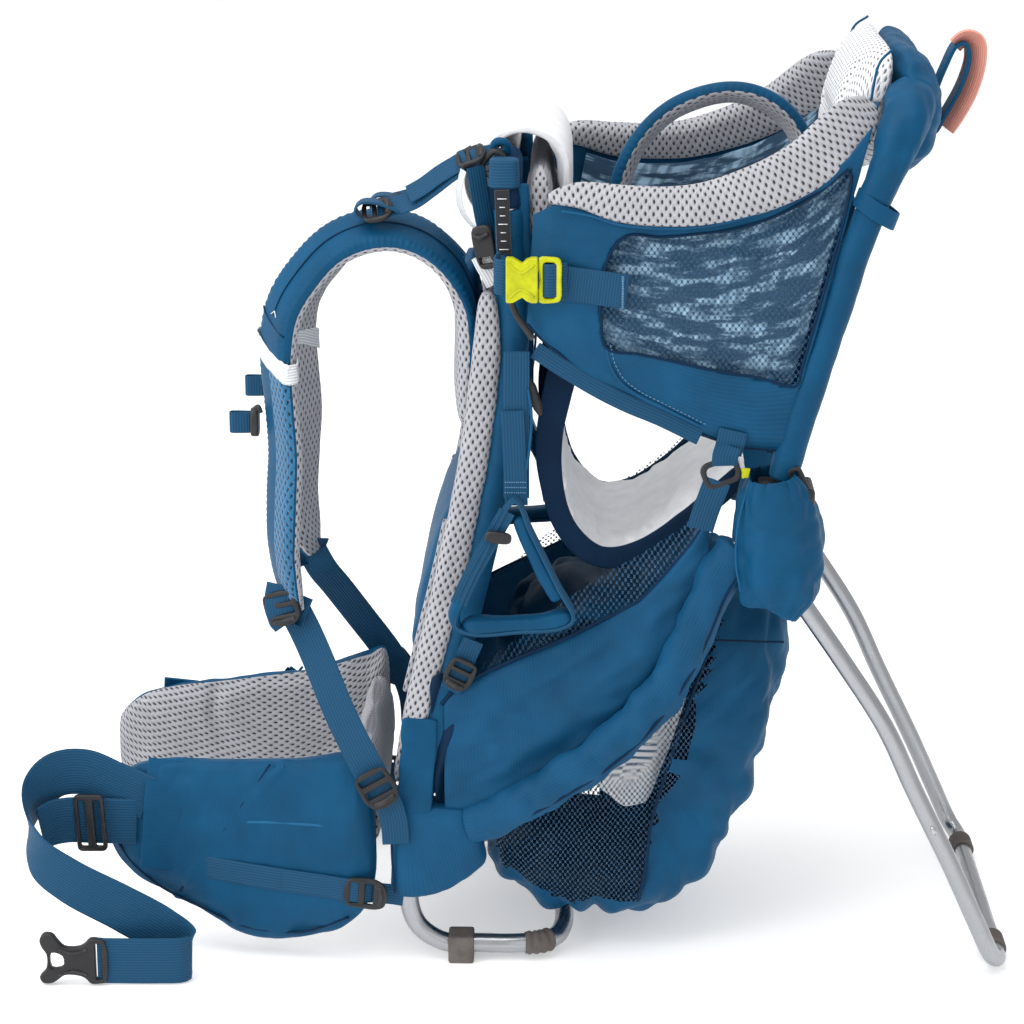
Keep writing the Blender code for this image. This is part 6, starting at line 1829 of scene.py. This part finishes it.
# ---------------------------------------------------------------- foot stirrups and small webbing
def build_stirrups():
    corners = [(-0.0035, 0.3860), (-0.026, 0.345), (-0.0455, 0.302), (-0.0480, 0.2885), (-0.036, 0.2825),
               (0.000, 0.2845),
               (0.032, 0.2880), (0.0400, 0.2945), (0.028, 0.320), (0.008, 0.362)]
    for side, s in SIDES:
        body, y = "foot_stirrup_" + side, s * 0.1430
        hanger = [(-0.0025, s * 0.1365, z) for z in (0.3850, 0.42, 0.46, 0.4960)]
        strap("stirrup_hanger_" + side, [(*p, 0.0190, 0.0022) for p in hanger], 0.019, (1.0, 0, 0), "web",
              body, (body,), spacing=0.003)
        layer = enumerate((0.380, 0.405, 0.430, 0.452))
        layer = [(-0.0025 - 0.001 * k, s * 0.1392, z, 0.0170, 0.0016) for k, z in layer]
        strap("stirrup_front_layer_" + side, layer, 0.017, (1.0, 0, 0), "web", body, spacing=0.003)
        toggle = soft_outline([(-0.0090, -0.0030), (0.0, -0.0045), (0.0090, -0.0028), (0.0090, 0.0028),
                               (0.0, 0.0045), (-0.0090, 0.0030)])
        moulding("stirrup_toggle_" + side, toggle, [], 0.0060, axes((-0.0155, s * 0.1525, 0.3590),
                (1.0, 0, -0.15), (0, s, 0)), "black", body, edge=0.0016)
        for k in range(3):
            z = 0.3900 + 0.004 * k
            stitches("stirrup_bartack_%s_%d" % (side, k),
                     [(a, s * 0.1403, z) for a in np.linspace(-0.0105, 0.0040, 10)], (0, s, 0), "thread",
                     body, 0.0016, 0.0012, 0.0008)
        cord_line = route([(0.0060, s * 0.1385, 0.4680), (0.0085, s * 0.1400, 0.4500),
                           (0.0075, s * 0.1405, 0.4280), (0.0050, s * 0.1410, 0.4080)], 0.002)
        round_line("stirrup_cord_" + side, cord_line, 0.0010, "binding", body, 8)
        rows = [(x, y, z, 0.0165, 0.0032) for x, z in corners]
        strap("stirrup_loop_" + side, rows, 0.0165, ALONG_Y, "web", body, spacing=0.0025, closed=True)
        split = [(-0.0075, 0.3780), (-0.0210, 0.3530), (-0.0350, 0.3270), (-0.0440, 0.3060)]
        split = [(x - 0.0015, s * 0.1490, z, 0.0125, 0.0018) for x, z in split]
        strap("stirrup_front_strap_" + side, split, 0.0125, (0.86, 0, 0.5), "web", body, spacing=0.0025)
        pad = [(-0.0010, 0.3740), (0.0030, 0.3600), (0.0110, 0.3430), (0.0200, 0.3240), (0.0290, 0.3080)]
        rows = even(smooth([(x, y, z, 0.0155, 0.0105) for x, z in pad], 6), 0.0025)
        rows[0, 3:] *= 0.5
        rows[-1, 3:] *= 0.6
        grid = crumple(sections(rows, ALONG_Y, 20, 0.7), 0.0010, 60.0, 91 + s)
        placed(grid_object("stirrup_rear_pad_" + side, grid, ["blue_plain"]), "blue_plain", body, levels=1)
        bar = [(-0.0430, 0.2880, 0.4), (-0.0380, 0.2880, 1.0), (-0.0100, 0.2885, 1.0),
               (0.0150, 0.2905, 1.0), (0.0350, 0.2950, 1.0), (0.0400, 0.2960, 0.5)]
        rows = even(smooth([(x, y, z, 0.0168 * f, 0.0115 * f) for x, z, f in bar], 6), 0.0025)
        grid = crumple(sections(rows, ALONG_Y, 24, 0.7), 0.0010, 50.0, 93 + s)
        obj = grid_object("stirrup_bar_" + side, grid, ["blue_plain"])
        placed(obj, "blue_plain", body, levels=1)
        corner = [(-0.0400, 0.3150, 0.6), (-0.0455, 0.3060, 1.0), (-0.0490, 0.2950, 1.0),
                  (-0.0465, 0.2860, 0.7)]
        rows = even(smooth([(x, y, z, 0.0170 * f, 0.0090 * f) for x, z, f in corner], 6), 0.002)
        placed(grid_object("stirrup_corner_" + side, sections(rows, ALONG_Y, 20, 0.7), ["blue_plain"]),
               "blue_plain", body, levels=1)
        lower = ((-0.0350, 0.2700), (-0.0410, 0.2560), (-0.0470, 0.2410), (-0.0530, 0.2300))
        lower = [(x, s * 0.1275, z, 0.0160, 0.0016) for x, z in lower]
        strap("stirrup_lower_web_" + side, lower, 0.016, (0.86, 0, -0.4), "web", spacing=0.0025)
        ladder_lock("side_lock_" + side, (-0.0455, s * 0.1300, 0.2440), (-0.45, 0, -0.9), (0, s, 0), 0.0150,
                    length=0.022)


def build_ring_and_webs():
    """The moulded ring behind the leg opening, its webbing, and the webbing under the cockpit."""
    for side, s in SIDES:
        matrix = axes((0.1475, s * 0.1500, 0.4090), (0.35, 0, -0.94), (0, s, 0))
        moulding("side_ring_" + side, rounded(0.0210, 0.0290, 0.0070, 5),
                 [rounded(0.0125, 0.0205, 0.0040, 5)], 0.0040, matrix, "black", edge=0.0015)
        above = [(0.1520, 0.1475, 0.4230), (0.1540, 0.1485, 0.4310), (0.1560, 0.1470, 0.4400)]
        strap("ring_web_above_" + side, [(a, s * b, c, 0.0210, 0.0020) for a, b, c in above], 0.021,
              (0.96, 0, 0.1), "web", spacing=0.002)
        fold = [(0.1500, 0.1520, 0.4150), (0.1500, 0.1535, 0.4215), (0.1515, 0.1520, 0.4260),
                (0.1530, 0.1495, 0.4290)]
        strap("ring_fold_" + side, [(a, s * b, c, 0.0190, 0.0016) for a, b, c in fold], 0.019,
              (0.96, 0, 0.1), "web", spacing=0.0015)
        below = [(0.1450, 0.1505, 0.4030), (0.1415, 0.1510, 0.3930), (0.1370, 0.1500, 0.3800),
                 (0.1330, 0.1480, 0.3650)]
        strap("ring_web_below_" + side, [(a, s * b, c, 0.0200, 0.0018) for a, b, c in below], 0.020,
              (0.94, 0, 0.3), "web", spacing=0.002)
        tag = [(0.1620, 0.1500, 0.4080), (0.1650, 0.1505, 0.4090), (0.1680, 0.1500, 0.4085)]
        strap("ring_tag_" + side, [(a, s * b, c, 0.0075, 0.0012) for a, b, c in tag], 0.0075, (0, 0, 1.0),
              "lime", spacing=0.001)
        low = [(0.0110, 0.4965), (0.0340, 0.4830), (0.0580, 0.4690), (0.0800, 0.4580), (0.1020, 0.4490),
               (0.1320, 0.4345)]
        points = [(a, s * (wall_y(a, b) - 0.0010), b, 0.0130, 0.0018) for a, b in low]
        strap("cockpit_low_web_" + side, points, 0.013, lambda t, r, s=s: (0.45, -s * 0.12, 0.88), "web",
              spacing=0.003)


# ---------------------------------------------------------------- the whole carrier
def build_all():
    build_metal()
    build_sleeves()
    build_corner_wraps()
    build_pivot_covers()
    build_back()
    build_top()
    build_cockpit()
    build_headrest()
    build_seat()
    build_side_panels()
    build_bag()
    build_side_buckle()
    build_hip_buckles()
    build_grab_loop()
    build_shoulder_harness()
    build_lifters()
    build_lower_straps()
    build_hip_belt()
    build_stirrups()
    build_ring_and_webs()
    for side, _ in SIDES:
        look_on_node("pivot_housing_" + side, "black")
        look_on_node("kickstand_pin_" + side, "steel")
        look_on_node("base_foot_" + side, "rubber")


def area_light(name, place, target, size, power):
    data = bpy.data.lights.new(name, "AREA")
    data.shape = "SQUARE"
    data.size = size
    data.energy = power
    obj = bpy.data.objects.new(name, data)
    bpy.context.scene.collection.objects.link(obj)
    obj.location = place
    obj.rotation_euler = (Vector(target) - Vector(place)).to_track_quat("-Z", "Y").to_euler()
    return obj


def build_studio():
    scene = bpy.context.scene
    world = bpy.data.worlds.new("White studio")
    scene.world = world
    world.use_nodes = True
    world.node_tree.nodes["Background"].inputs["Color"].default_value = (1.0, 1.0, 1.0, 1.0)
    world.node_tree.nodes["Background"].inputs["Strength"].default_value = 0.72
    middle = (0.0, 0.0, 0.36)
    lights = [area_light("Top light", (-0.5, -0.4, 2.6), middle, 2.2, 46.0),
              area_light("Left light", (-2.2, -1.4, 1.3), middle, 1.6, 30.0),
              area_light("Front light", (0.9, -2.6, 1.2), middle, 1.8, 7.0)]
    bpy.ops.mesh.primitive_plane_add(size=60.0)
    floor = bpy.context.active_object
    floor.name = "Floor"
    floor.data.materials.append(floor_material())
    scene.view_settings.view_transform = "Standard"
    data = bpy.data.cameras.new("Photo camera")
    data.lens = 103.7
    data.sensor_width = 36.0
    camera = bpy.data.objects.new("Photo camera", data)
    scene.collection.objects.link(camera)
    camera.location = (0.0336, -2.230, 1.0)
    camera.rotation_euler = Vector((-0.01804, 0.95792, -0.28645)).to_track_quat("-Z", "Y").to_euler()
    scene.camera = camera


build_all()
build_studio()
